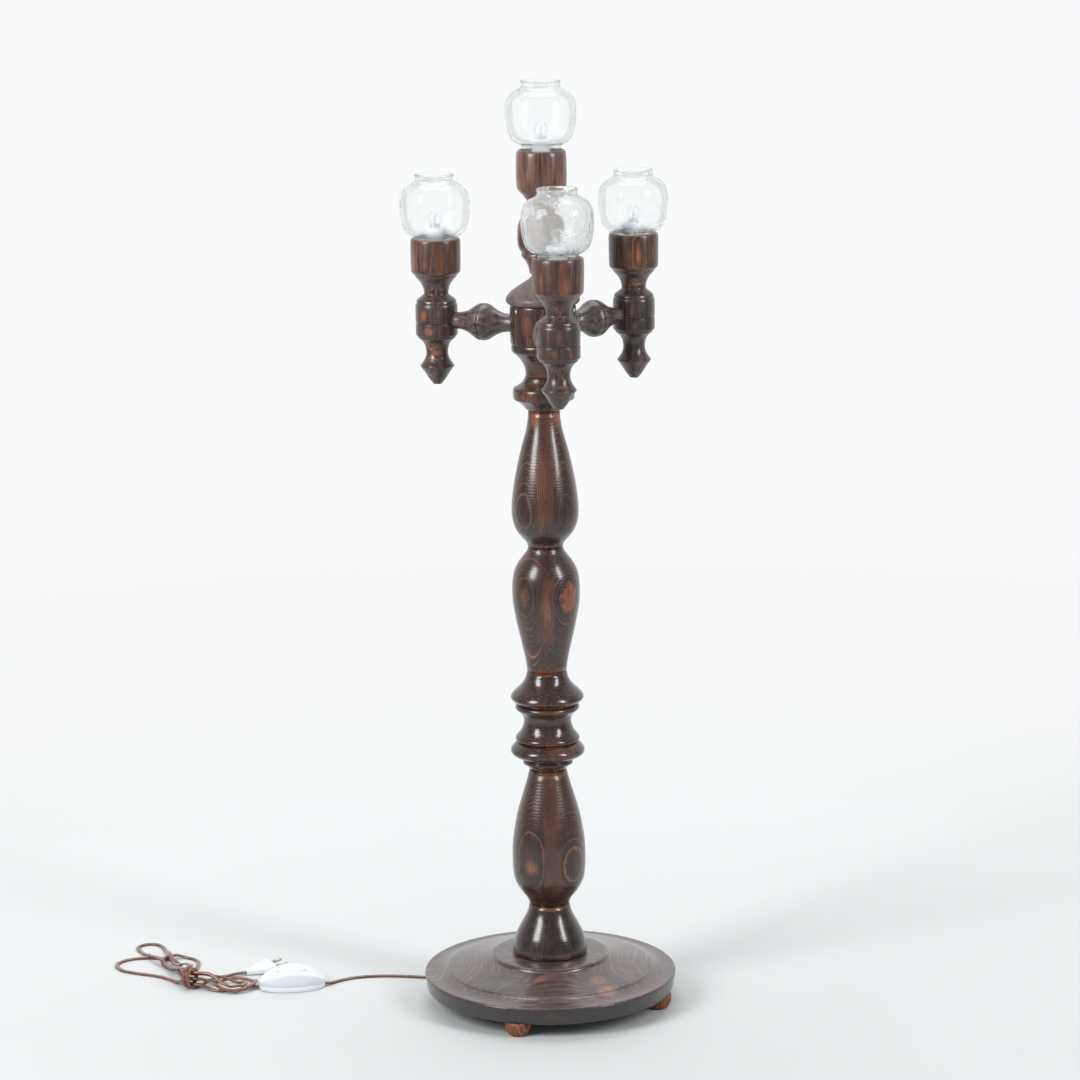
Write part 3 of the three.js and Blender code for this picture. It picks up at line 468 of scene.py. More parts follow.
def grained(name, turn=SHOWN_TURN, lean=42, period=5.2, shift=0.0, warp=5.0, slope=0.03, thin=0.16,
            dark="261a17", mid="3f2c26", rust="744631", glow="9a5636", patch=0.5, fill=0.12, rough=0.3,
            coat=0.6, ripples=1.0, pith=None, painted_side_shade=1.0, blots=()):
    """Wood with its growth rings as layers through the solid.

    turn is how far the layers are turned from facing along Y, lean their slant from it, slope their drift
    along the grain and period their spacing, of which thin is the share of the dark line. patch and fill say
    how warm lines and ground are. With pith, a depth, the piece is a level board whose rings lie round a line
    at that depth and whose grain is turned from X. painted_side_shade is painted shade on the base's side: it
    darkens the wood below the base's upper edge."""
    s = Wood(name, turn, shift)
    if pith:
        s.x, s.y, s.z = s.height, s.v, s.u
        below = s.x + pith
        rings = s.math("SQRT", below * below + s.y * s.y)
    else:
        rings = s.layers(lean, 16.0)
    slow = s.grain(1 / 60, 1 / 240)
    bend = (s.noise(slow, 1, 3) - 0.5) * (warp * 2)
    wander = (s.noise(s.grain(1 / 9, 1 / 34), 1, 2) - 0.5) * (warp * 0.3)
    count = (rings + s.z * slope + bend + wander) / period + (10 + shift)
    count = count + (s.noise(count * 0.8, 1, 1, dims="1D") - 0.5) * 1.1
    start = 1 - thin
    line = s.ramp(s.math("FRACT", count), [
        (0, 0.0), (start * 0.55, 0.03), (max(start - 0.12, start * 0.6), 0.16), (start, 0.85),
        (start + thin * 0.55, 1.0), (1 - thin * 0.2, 0.75), (1, 0.0)])
    strength = s.range(s.random(s.math("FLOOR", count)), 0, 1, 0.35, 1.1)
    blotch = s.grain(1 / 24, 1 / 62, 5)
    spot = s.range(s.noise(blotch, 1, 3, 0.55), 0.36, 0.66, 0.2, 1.3)
    fine = s.noise(s.grain(1.25, 0.05), 1, 4, 0.68)
    broad = s.noise(s.grain(0.3, 0.018), 1, 3, 0.6)
    ground = s.mix(s.range(broad, 0.35, 0.7), dark, mid)
    wash = s.range(s.noise(blotch, 0.7, 3, 0.6), 0.52, 0.72, 0, fill * 3)
    warm = s.math("MAXIMUM", line * spot * (strength * (patch * 1.5)), wash)
    warm = s.blotted(warm, blots, broad, fine)
    colour = s.mix(warm, ground, s.mix(s.range(broad, 0.3, 0.7), rust, glow))
    tone = s.range(fine, 0.3, 0.72, 0.5, 1.4) * s.range(s.noise(blotch, 0.45, 2), 0.3, 0.7, 0.78, 1.2)
    # Painted shade: below the base's upper edge, on the base's side, the wood is darkened by a factor
    if painted_side_shade < 1:
        tone = tone * s.range(s.height, 37, 40, painted_side_shade, 1)
    normal = s.bump(fine * 0.5 + line * 0.35, 0.4, 0.00016)
    if ripples:
        phase = s.height * 1.8 + s.noise(blotch, 2, 2) * 6
        normal = s.rippled(normal, phase, s.noise(slow, 6, 2), 0.000022 * ripples)
    return s.set(Base_Color=s.toned(colour, tone),
                 Roughness=s.range(broad, 0.3, 0.7, rough * 0.8, rough * 1.25),
                 Normal=normal, Coat_Weight=coat, Coat_Roughness=0.13, IOR=1.48)


def layered(name, left, right, belly, widest=0.0, turn=0.0, lean=42.0, strip=None, tilt=-0.09, shift=0.0,
            period=1.75, warp=0.8, rough=0.32, coat=0.6, ripples=2.2, dark="251815", mid="38231c",
            tan="7b5039", glow="ab5c2f", cool=None, blots=()):
    """Wood cut almost along its layers, so that ovals show where the piece is widest.

    belly is the greatest radius, at the height widest. left and right say, for each side, how deep the oval's
    rim lies, how bright and how thick it is, how deep and how bright its warm middle is, and how much the
    layers bow with height. turn is how far the layers are turned from facing the shown side, and lean their
    slant from it. Between the heights in strip, an upright middle board shows, whose stripes slant by tilt.
    Below the height cool, the wood is greyer."""
    s = Wood(name, SHOWN_TURN + turn, shift)
    slow, quick = s.grain(1 / 42, 1 / 95), s.grain(1 / 6, 1 / 11)
    bend = (s.noise(slow, 1, 2) - 0.5) * (warp * 4)
    jitter = (s.noise(quick, 1, 2) - 0.5) * 0.9
    on_right = s.math("GREATER_THAN", s.u, 0)
    rim, bright, rim_width, heart, heart_glow, bow = (s.choose(on_right, b, a) for a, b in zip(left, right))
    up = s.z - widest
    depth = (belly + 0.25 - s.layers(lean, 5.0)) + (bend + jitter + up * up * bow)
    inside = s.math("LESS_THAN", depth, rim)
    beyond = s.math("MAXIMUM", depth - rim, 0) / period
    uneven = (s.noise(beyond + s.seed, 0.7, 1, dims="1D") - 0.5) * 1.2
    count = s.math("MAXIMUM", beyond + uneven * s.math("MINIMUM", beyond, 1), 0)
    to_line = s.choose(inside, rim - depth, (1 - s.math("FRACT", count)) * period)
    ragged = s.noise(quick, 1.6, 2, 0.6)
    line_width = s.choose(inside, rim_width * s.range(ragged, 0.3, 0.7, 0.5, 1.5), 0.5)
    line = s.ramp(to_line / line_width, [(0, 0.8), (0.12, 1.0), (0.4, 0.9), (1, 0)])
    patchy = s.noise(s.grain(1 / 22, 1 / 46, 5), 1, 3, 0.55)
    fine = s.noise(s.grain(1.3, 0.06), 1, 4, 0.66)
    broad = s.noise(s.grain(0.34, 0.02), 1, 3, 0.6)
    each = s.random(on_right * 13 + (s.math("FLOOR", count) + s.seed))
    other = s.range(each, 0, 1, 0.2, 0.75) * s.range(patchy, 0.36, 0.64, 0.45, 1.25)
    lit = line * s.choose(inside, bright, other)
    heart = s.range(heart * s.range(ragged, 0.3, 0.7, 0.5, 1.4) - depth, -0.1, 0.9, smooth=True) * heart_glow
    heart = heart * s.range(fine, 0.25, 0.6, 0.45, 1)
    ground = s.mix(s.range(broad, 0.35, 0.7), dark, mid)
    if cool:
        greyer = s.mix(s.range(broad, 0.35, 0.7), "242020", "453c3a")
        ground = s.mix(s.range(s.z, cool - 4, cool + 4, 0.75, 0), ground, greyer)
    if strip:
        low, high = strip
        below = s.range(s.z, low - 9, low + 9, smooth=True)
        above = s.range(s.z, high - 9, high + 9, 1, 0, smooth=True)
        within = s.range(abs(s.u + jitter * 1.2), 9.3, 11.3, 1, 0, smooth=True) * (below * above)
        zigzag = s.noise(s.grain(1 / 7, 1 / 4), 1, 1) * 1.9
        rows = (s.z * tilt + s.u + zigzag + bend * 3) / 2.3 + 40
        stops = [(0, 0.15), (0.2, 0), (0.5, 0.12), (0.82, 1), (0.93, 0.7), (1, 0.15)]
        stripe = s.ramp(s.math("FRACT", rows), stops)
        stripe = stripe * s.range(patchy, 0.35, 0.65, 0.35, 0.95)
        lit = lit * (1 - within) + stripe * within * 0.72
        ground = s.mix(within * s.range(patchy, 0.35, 0.65, 0.2, 0.75), ground, "4d3027")
    warm = s.blotted(s.math("MAXIMUM", lit, heart), blots, broad, fine)
    colour = s.mix(warm, ground, s.mix(s.range(warm, 0.4, 0.95), tan, glow))
    tone = s.range(fine, 0.3, 0.72, 0.72, 1.25) * s.range(patchy, 0.3, 0.7, 0.86, 1.14)
    normal = s.bump(fine * 0.4 + line * 0.3, 0.35, 0.00014)
    normal = s.rippled(normal, s.z * 1.7 + patchy * 6, s.noise(slow, 3, 2), 0.000026 * ripples)
    return s.set(Base_Color=s.toned(colour, tone),
                 Roughness=s.range(broad, 0.3, 0.7, rough * 0.85, rough * 1.2),
                 Normal=normal, Coat_Weight=coat, Coat_Roughness=0.18, IOR=1.48)


def plain(name, colour, rough=0.4, metallic=0.0, speck=0.06, scale=1.2, bump=0.15, coat=0.0, vary=0.08):
    """Metal or moulded plastic, a little cloudy and gritty."""
    s = Shade(name)
    cloud = s.noise(s.mm, 1 / 35, 3, 0.55)
    grit = s.noise(s.mm, scale, 3, 0.6)
    tone = s.range(cloud, 0.3, 0.7, 1 - vary, 1 + vary * 0.4) + s.range(grit, 0.3, 0.7, -speck, speck)
    return s.set(Base_Color=s.toned(colour, tone),
                 Roughness=s.range(grit, 0.3, 0.7, rough * 0.85, rough * 1.2),
                 Metallic=metallic, Normal=s.bump(grit, bump, 0.00008), Coat_Weight=coat, Coat_Roughness=0.1)


def glass(name, wave=0.35, seeds=0.5, clear=0.0, veil=0.0, bend=1.46, shift=0.0):
    """Blown glass with waves and seeds. clear and veil let it fade, and bend is its index of refraction."""
    s = Shade(name)
    moved = s.vector("ADD", s.mm, (shift * 61, shift * 23, shift * 17))
    pits = s.node("ShaderNodeTexVoronoi")
    s.put(pits.inputs["Vector"], moved)
    pits.inputs["Scale"].default_value = 1 / 5.5
    seed = s.range(Field(s, pits.outputs["Distance"]), 0.06, 0.16, 1, 0, smooth=True)
    normal = s.bump(seed, seeds, 0.0008, s.bump(s.noise(moved, 1 / 16, 2), wave, 0.004))
    return s.set(Base_Color=(0.965, 0.985, 0.985, 1), Roughness=0.0, IOR=bend, Transmission_Weight=1 - veil,
                 Normal=normal, Alpha=1 - clear)


# Column, from the bottom up, as turned outlines in mm above the floor
COLUMN_OUTLINES = {
    "column_bell": (
        "62.3:45.2 64.2:46.5 67:46.6 75:45.5 86.9:42 94.8:38.2 102.6:34.1 110.5:29.8 118.4:26.7 126.2:24.9"),
    "lower_baluster": (
        "126.5:24.9 134:27.7 142:33.8 150:39 158.5:42.9 170:45 186:45.6 207:45 228:41.9 246:38.2 265:32.8"
        " 284.5:26.9 299.8:22.7"),
    "bead_ring": (
        "300.1:22.7 305:26.1 308:31.2 311.5:31.2 313.5:29.6 318:40.8 321:44.8 324.4:45.9 328:44.8 331:42.2"
        " 335.8:38"),
    "spool_ring": (
        "336.1:38 339:39.8 341.5:39.4 346.2:35.6 351.3:32.3 361:29.4 369.2:31.2 374.3:35.5 377.5:39.2"
        " 380.5:39.8 383.1:38.1"),
    "knop": (
        "383.4:38.1 387.1:41.6 390.4:44.6 392:45.2 393.6:45 396:43.8 399:41.4 402.4:37.9 407.5:32.5"
        " 412.6:28.7 417.7:26.3 425.2:24.3"),
    "middle_baluster": (
        "425.5:24.3 440:26.2 457:29.9 476:34.3 495:38.3 512:41 527:41.7 540:41.1 551.8:38.8 561.8:34"
        " 569.4:28.6 576.9:23 581.8:21.4"),
    "upper_baluster": (
        "582.1:21.4 587.5:23.3 594.5:29.3 602:35.1 610:38.6 620:40.8 632:41.1 650:39.5 670:36.3 690:32.1"
        " 708:27.7 726.4:22.5 740:20.1 750.8:19.5"),
    "hub_collar": (
        "751.1:19.5 753.6:22.2 758.5:26.8 763.5:33.2 765.3:36.8 768:37.5 777:37.5 779.5:36.6 782:31.5"
        " 786:26.2 792.9:22.5"),
    "hub_block": (
        "793.2:22.3 798:21.9 806:23.6 814:28 820:33.6 824:38 826:38.8 831.5:38.8 833:37.6 834.5:40 879.5:40"
        " 882:39.4"),
    "hub_cap": "882.3:42 884.2:44 887:45 890:44.3 893.4:42.1 898.3:37.1 903.2:30.2 908:22.9 911:18 914.7:14",
}
BALUSTER_LOOKS = {
    "lower_baluster": dict(left=(4.3, 0.6, 0.7, 1.1, 0.12, 0), right=(3.6, 0.7, 1.5, 0.4, 0.1, 0.004),
        belly=45.6, widest=56, strip=(18, 165), turn=6, lean=38, tilt=0.22, shift=0.62,
        blots=[(0, -22, 170, 24, 6, 0.6), (-27, -37, 57, 10, 12, 0.8)]),
    "middle_baluster": dict(left=(2.6, 0.35, 0.7, 0.9, 0.55, 0), right=(2.4, 0.25, 0.6, 2.2, 0.8, 0.002),
        belly=41.7, widest=94, strip=(40, 122), shift=4.35, blots=[(0, -22, 2, 30, 4, 0.75),
        (-5, -40, 84, 7, 32, 0.68)]),
    "upper_baluster": dict(left=(2.7, 0.6, 0.75, 1.2, 0.12, 0), right=(2.3, 0.3, 0.6, 1.0, 0.1, 0),
        belly=41.1, strip=(34, 172), tilt=0.06, shift=5.1, blots=[(13, -15, 163, 8, 20, 0.9),
        (-14, -15, 163, 8, 17, 0.85)]),
}
COLUMN_WOOD = dict(lean=42, period=3.2, warp=3.0, rough=0.28, coat=0.45, dark="241a19", mid="3d2e29",
    rust="6b493b")
COLUMN_LOOKS = {
    "column_bell": dict(shift=0.3, lean=60, period=7, rough=0.24, patch=0.06, fill=0.0, ripples=1.2,
        blots=[(0, -26, 63, 27, 5, 0.85), (10, -44, 6, 14, 3, 0.4)]),
    "bead_ring": dict(shift=1.7, patch=0.22, rough=0.2, thin=0.3, blots=[(4, -45, 14, 30, 2.2, 0.45)]),
    "spool_ring": dict(shift=2.4, patch=0.25, rough=0.2, blots=[(-12, -30, 32, 9, 4, 0.6),
        (0, -40, 45, 34, 1.8, 0.6)]),
    "knop": dict(shift=3.1, patch=0.22, rough=0.2, blots=[(0, -40, 1, 40, 3.5, 0.5),
        (-6, -24, 41, 16, 2.5, 0.5)]),
    "hub_collar": dict(shift=6.6, patch=0.35, blots=[(-24, -29, 20, 14, 6, 0.7),
        (18, -32, 20, 7, 6, 0.55)]),
    "hub_block": dict(shift=7.2, patch=0.5, lean=20, blots=[(-24, -31, 66, 8, 18, 0.5)]),
    "hub_cap": dict(shift=8.5, patch=0.2, dark="57484a", mid="7b6c67", rust="8f7568", glow="8f7568",
        rough=0.45, coat=0.1, ripples=0.3),
}
for name, outline in COLUMN_OUTLINES.items():
    marks = [pair.split(":") for pair in outline.split()]
    low = float(marks[0][0])
    local = " ".join(f"{float(up) - low:.2f}:{out}" for up, out in marks)
    piece = place(turned("wood_" + name, local), (0, 0, low))
    if name in BALUSTER_LOOKS:
        look = layered("wood_" + name, **BALUSTER_LOOKS[name])
    else:
        look = grained("wood_" + name, **{**COLUMN_WOOD, **COLUMN_LOOKS[name]})
    own(piece, look, "base_wood" if name == "hub_cap" else "column_wood", name)

# Base board: an underside with a recess, a rounded rim, a shallow cove and a raised middle
BASE_OUTLINE = (
    "18.5:153.4 21:154.8 30:156.2 36.5:157.3 37.7:157.5 38.3:156.9 38.9:157.1 39.7:156.2 39.9:154.5"
    " 39.8:151 39.9:147 40.6:141 41.7:136.2 43:132.2 44.2:129.6 45.2:128.8 45.6:127.6 46.9:122 49.2:110"
    " 52.5:94 56.4:79 57.6:74.4 59.6:73.4 61.2:73.2 62:71.6 62:0")
RECESS_LINE = [[0, 28.5], [24, 28.5], [24, 18.5]]
CHANNEL_START, CHANNEL_END, CHANNEL_WIDTH, CHANNEL_LOW, CHANNEL_TOP = 22.5, 80.5, 9.6, 18.1, 26.5
base = lathe("wood_base", np.vstack([RECESS_LINE, smooth_outline(BASE_OUTLINE, soft=0.3)]), 160)
cutter = block("channel", (CHANNEL_END - CHANNEL_START, CHANNEL_WIDTH, CHANNEL_TOP - CHANNEL_LOW),
               ((CHANNEL_START + CHANNEL_END) / 2, 0, (CHANNEL_LOW + CHANNEL_TOP) / 2))
cutter.matrix_world = spun(LEAD_DEGREES)
cut = base.modifiers.new("channel", "BOOLEAN")
cut.operation = "DIFFERENCE"
cut.object = cutter
bpy.context.view_layer.update()
graph = bpy.context.evaluated_depsgraph_get()
cut_mesh = bpy.data.meshes.new_from_object(base.evaluated_get(graph))
base.modifiers.clear()
base.data = cut_mesh
bpy.data.objects.remove(cutter)
place(base, AXIS)
base_look = grained("wood_base", pith=230, slope=0.02, period=1.3, shift=1.2, warp=2.4, thin=0.4,
    dark="302827", mid="54494a", rust="75655f", glow="9c6044", patch=0.38, fill=0.03, rough=0.4, coat=0.75,
    ripples=0.25, painted_side_shade=0.2, blots=[(56, -115, 45, 16, 7, 1.0), (47, -90, 49, 15, 7, 0.75),
    (16, -59, 61, 14, 5, 0.7), (128, -92, 30, 24, 12, 0.6), (-22, -156, 28, 10, 14, 0.4)])
own(base, base_look, "base_wood", "base_disc")

# Feet: fluted half buns with a sunk screw
FOOT_OUTLINE = "0.02:9.2 0.6:10.4 2:12.2 5:14.4 9:15.8 13:16.4 18.2:16.5"
SCREW_WELL = [[2.2, 4.6], [5.4, 4.6], [5.4, 0.02]]
SCREW_HOLE = [[2.2, 18.2], [2.2, 4.6]]
FOOT_REACH, FIRST_FOOT_DEGREES = 140, -114
FLUTES, FLUTE_DEPTH, FLUTES_OUTSIDE, FLUTES_BELOW = 20, 0.045, 8, 17.9


def fluted(t, out, up):
    if out > FLUTES_OUTSIDE and up < FLUTES_BELOW:
        return 1 - FLUTE_DEPTH * (0.5 + 0.5 * math.cos(FLUTES * t)) ** 1.5
    return 1


foot_look = grained("wood_foot", lean=30, period=3.2, dark="6a3c26", mid="8a5533", rust="a8653a",
    glow="ba7442", patch=0.8, rough=0.45, coat=0.05, ripples=0)
for i in range(4):
    degrees = FIRST_FOOT_DEGREES + 90 * i
    line = np.vstack([SCREW_WELL, smooth_outline(FOOT_OUTLINE), SCREW_HOLE])
    foot = lathe(f"wood_foot_{i + 1}", line, 120, wobble=fluted)
    place(foot, polar(degrees, FOOT_REACH), spun(degrees))
    own(foot, foot_look, "foot_wood", f"foot_{i + 1}")

# Candle holders, in mm above their own foot
CENTRE_OUTLINE = (
    "0:12.2 2.6:12.6 3.8:15.4 12.4:17.2 18.9:20.3 24.2:24.8 26.9:25.7 28.9:24.6 34.2:27.9 39.9:29.6"
    " 51.9:29.9 61.9:29 69.9:26 76.9:20.4 81.9:16.9 86.9:16.3 92.9:18.6 98.9:23 104.9:28.4 109.4:30"
    " 147.9:30 151:29.4 153:27.6 153:25.6 145:25.6 145:11.4")
ARM_CANDLE_OUTLINE = (
    "0:5.5 1.2:6.2 5:9.4 9:12 13.5:14.8 18:17.9 21.6:20.6 22.7:21 24:20 26.5:18.2 30:16 33.5:14.3 37:13.6"
    " 40.7:13.5 45:14 49:15.3 52:17.2 54.6:19.6 56.4:21.8 57.4:22.9 59.5:23.3 60.1:24.9 61.4:25.6 63:25.75"
    " 75:25.8 75.5:24.4 76.7:24.4 77.2:25.8 97:25.7 99.3:25.2 99.8:24.3 100.8:24.3 101.3:24.6 104.2:23.7"
    " 104.9:23 107.6:19.4 110.6:15.8 111.3:15.1 113:15.1 116.5:15.4 119:16 122:17.2 125:18.8 129:21.9"
    " 133.2:25.6 134.4:26.1 138.2:29.7 139.4:30.1 145:30.4 176:30.5 178.6:29.9 180:28.2 180:25.6 172:25.6"
    " 172:11.4")
CENTRE_HEIGHT, ARM_CANDLE_HEIGHT = 153, 180
WELL_RADIUS, WELL_DEPTH = 11.4, 34
CANDLE_WOOD = dict(lean=0.0, period=2.7, warp=1.2, rough=0.33, coat=0.45, ripples=0.4, dark="34241f",
    mid="5f4237", tan="8c5a44", glow="b05c34")
CENTRE_LOOK = dict(left=(2, 0.3, 0.5, 0.5, 0.2, 0), right=(2, 0.3, 0.5, 0.5, 0.2, 0), belly=30, turn=68,
    shift=2.2, mid="785446", blots=[(-27, -8, 120, 7, 40, 0.6), (21, -21, 112, 6, 12, 0.55)])
ARM_CANDLE_LOOKS = [
    dict(left=(2.2, 0.3, 0.5, 0.5, 0.5, 0), right=(1.8, 0.3, 0.5, 0.5, 0.5, 0), turn=12, shift=3.4,
        mid="5a3f36", blots=[(4, -30, 148, 8, 15, 0.6), (-22, -20, 150, 4, 15, 0.5),
        (-28, -8, 152, 4, 18, 0.4), (25, -16, 150, 5, 22, 0.35), (-3, -26, 88, 5, 9, 0.4),
        (12, -22, 67, 5, 6, 0.5), (-8, -24, 68, 5, 6, 0.4), (2, -14, 28, 8, 1.6, 0.5)]),
    dict(left=(1.6, 0.7, 0.6, 0.5, 0.8, 0), right=(1.7, 0.6, 0.5, 0.5, 0.8, 0), turn=11, shift=6.15,
        blots=[(1, -30, 155, 3.8, 17, 0.8), (2, -14, 118, 7, 2.2, 0.9), (-9, -14, 116, 3, 3, 0.7),
        (3, -21, 20, 4, 1.6, 0.7), (-6, -24, 88, 4, 9, 0.35), (-3, -25, 67, 4, 6, 0.35),
        (-10, -28, 150, 4, 20, 0.45), (20, -22, 158, 3, 12, 0.45)]),
    dict(left=(1.9, 0.75, 0.7, 0.3, 0.1, 0), right=(1.9, 0.6, 0.6, 0.3, 0.1, 0), turn=-27, shift=9.1,
        mid="604239", blots=[(-28, -12, 152, 5, 24, 0.6), (-16, -25, 149, 3.5, 8, 0.55),
        (2, -30, 155, 6, 24, 0.4), (18, -24, 150, 5, 26, 0.35), (-18, -18, 87, 5, 9, 0.85),
        (-13, -22, 67, 8, 6, 0.75), (-2, -14, 40, 10, 4, 0.75), (0, -26, 89, 3, 8, 0.4),
        (12, -22, 66, 3, 6, 0.4), (6, -14, 118, 4, 4, 0.5)]),
]


def well(height):
    """The well for the lampholder, down from a candle's cup."""
    return [[WELL_RADIUS, height - WELL_DEPTH], [0, height - WELL_DEPTH]]


centre = turned("wood_centre_candle", CENTRE_OUTLINE, head=well(CENTRE_HEIGHT))
place(centre, (0, 0, CENTRE_CUP_HEIGHT - CENTRE_HEIGHT))
own(centre, layered("wood_centre_candle", **{**CANDLE_WOOD, **CENTRE_LOOK}), "candle_wood", "centre_candle")
for i, degrees in enumerate(ARM_DEGREES):
    candle = turned(f"wood_arm_candle_{i + 1}", ARM_CANDLE_OUTLINE, head=well(ARM_CANDLE_HEIGHT), soft=0.25)
    place(candle, polar(degrees, ARM_REACH, ARM_CUP_HEIGHT - ARM_CANDLE_HEIGHT))
    look = layered(f"wood_arm_candle_{i + 1}", belly=30.5, cool=132, **{**CANDLE_WOOD, **ARM_CANDLE_LOOKS[i]})
    own(candle, look, "candle_wood", f"arm_candle_{i + 1}")

# Arms, in mm from the hub's shoulder: a neck, a ball that ends in a grooved ridge, and a taper
ARM_OUTLINE = (
    "0:10.9 1.6:11.1 3.2:10.9 8:11 11.6:11.4 15:12 19:13.3 23:15 27:17.1 30:19 32.5:20.7 35:21.9 37.5:22.6"
    " 39.6:22.9 40.8:22.9 41.8:21.1 42.8:22.8 44.3:22.6 46.5:22 49:20.8 51.5:19.2 54.5:17.3 57.5:15.4"
    " 61:13.4 65:12 69:11 74:10.3 80.5:9.9")
ARM_START = 37.6
ARM_WOOD = dict(lean=30, period=5, dark="2f2826", mid="6a5f5d", rust="745f57", glow="8a5a44", patch=0.5,
    fill=0.0, rough=0.38, coat=0.35, ripples=0.5)
for i, degrees in enumerate(ARM_DEGREES):
    arm = turned(f"wood_arm_{i + 1}", ARM_OUTLINE)
    place(arm, polar(degrees, ARM_START, ARM_AXIS_HEIGHT), spun(degrees) @ TIPPED)
    look = grained(f"wood_arm_{i + 1}", turn=40 * i + 15, shift=1.9 * i + 0.4, **ARM_WOOD)
    own(arm, look, "candle_wood", f"arm_spindle_{i + 1}")

# Pins under the cap, between the arms
PIN_LINE = [[0, -8], [1.2, -8], [1.2, 0], [2.4, 0], [2.5, 0.3], [2.35, 0.9], [1.8, 1.4], [1.0, 1.7], [0, 1.8]]
PIN_REACH, PIN_HEIGHT = 40.3, 875.8
steel = plain("steel", "c9ccd2", rough=0.28, metallic=1.0, speck=0.05, bump=0.1)
for i, degrees in enumerate(ARM_DEGREES):
    pin = lathe(f"pin_{i + 1}", PIN_LINE, 24)
    place(pin, polar(degrees + 60, PIN_REACH, PIN_HEIGHT), spun(degrees + 60) @ TIPPED)
    own(pin, steel, "steel", f"hub_pin_{i + 1}")

# Lampholders, bulbs and shades, in mm from the top of their cup
white = plain("white_plastic", "dde3e8", rough=0.3, speck=0.012, scale=2.2, bump=0.05, coat=0.25, vary=0.03)
bright = plain("bulb_metal", "c8c6bd", rough=0.25, metallic=1.0, speck=0.05)
filament = plain("filament", "8d8a86", rough=0.4, metallic=1.0)
bulb_glass = glass("bulb_glass", wave=0.0, seeds=0.0)
HOLDER_OUTLINE = "-33:11 5.6:11 5.8:13.4 6.5:14.1 12.2:14.1 13:13.4 13:7.2 12:6.7 4:6.7"
HOLDER_FOOT, HOLDER_FLOOR = [0, -33], [0, 4]
BULB_OUTSIDE = [[5.6, 0.2], [6.2, 1.4], [7.0, 3.4], [7.6, 6], [7.7, 8.5], [7.4, 11.4], [6.4, 14.2],
                [4.6, 16.6], [2.3, 17.9], [0, 18.2]]
BULB_STEM = [[0, 1.2], [1.9, 1.2], [1.5, 3.4], [0.9, 5.2], [0.8, 6.6], [0, 7.2]]
BULB_WIRE = [[-0.5, 0, 4.8], [-1.6, 0, 7], [-2.9, 0, 9.4], [-2.6, 0, 10.2], [-1.3, 0.3, 10.9], [0, 0, 11.3],
             [1.3, -0.3, 10.9], [2.6, 0, 10.2], [2.9, 0, 9.4], [1.6, 0, 7], [0.5, 0, 4.8]]
WIRE_SECTION = [polar(60 * k, 0.14)[:2] for k in range(6)]
WIRE_OUTWARDS = (-0.31, -0.2, -0.93)
BULB_BASE_HEIGHT, BULB_GLASS_HEIGHT = 4.4, 15.7
SHADE_OUTLINE = (
    "-7.3:24.3 3:24.3 4.6:24.5 5.6:25.6 6.6:27.8 8.2:31 10.4:34 13:36.4 17:38.6 21:40 29:41.8 40:42.9 48:43"
    " 56:42.2 60.5:41 64:39 67:36.4 69.6:33 71.6:29.6 73:26.6 74.2:24.6 75.6:23.8 79.5:23.7 81.4:24.1"
    " 82.4:24.2")
NECK_START, NECK_END = -7.3, 3.0
SHADE_WALL, LIP_RISE = 1.9, 0.35
CALM_GLASS = dict(wave=0.12, seeds=0.2, clear=0.28, veil=0.015, bend=1.22)
SEEDY_GLASS = dict(wave=0.6, seeds=1.6, clear=0.15, veil=0.1, bend=1.29)


def shade_line(drop):
    """The wall of a shade, outside and inside. The drop is how much its neck is shorter."""
    outer = smooth_outline(SHADE_OUTLINE, sharp=50, soft=0.7)
    outer[:, 1] -= drop * np.clip((outer[:, 1] - NECK_START) / (NECK_END - NECK_START), 0, 1)
    tangent = np.gradient(outer, axis=0)
    tangent /= np.linalg.norm(tangent, axis=1)[:, None] + 1e-12
    inner = outer + np.stack([-tangent[:, 1], tangent[:, 0]], 1) * SHADE_WALL
    inner[[0, -1]] = outer[[0, -1]] + [-SHADE_WALL, 0]
    lip = outer[-1] + [[-SHADE_WALL * 0.2, LIP_RISE], [-SHADE_WALL * 0.8, LIP_RISE]]
    return np.vstack([outer, lip, inner[::-1]])


def thread_line():
    line = [[0, 0], [5.0, 0], [5.4, 0.8]]
    for k in range(4):
        line += [[6.15, 1.6 + 2 * k], [5.5, 2.6 + 2 * k]]
    return line + [[6.1, 10], [6.1, 11], [0, 11]]


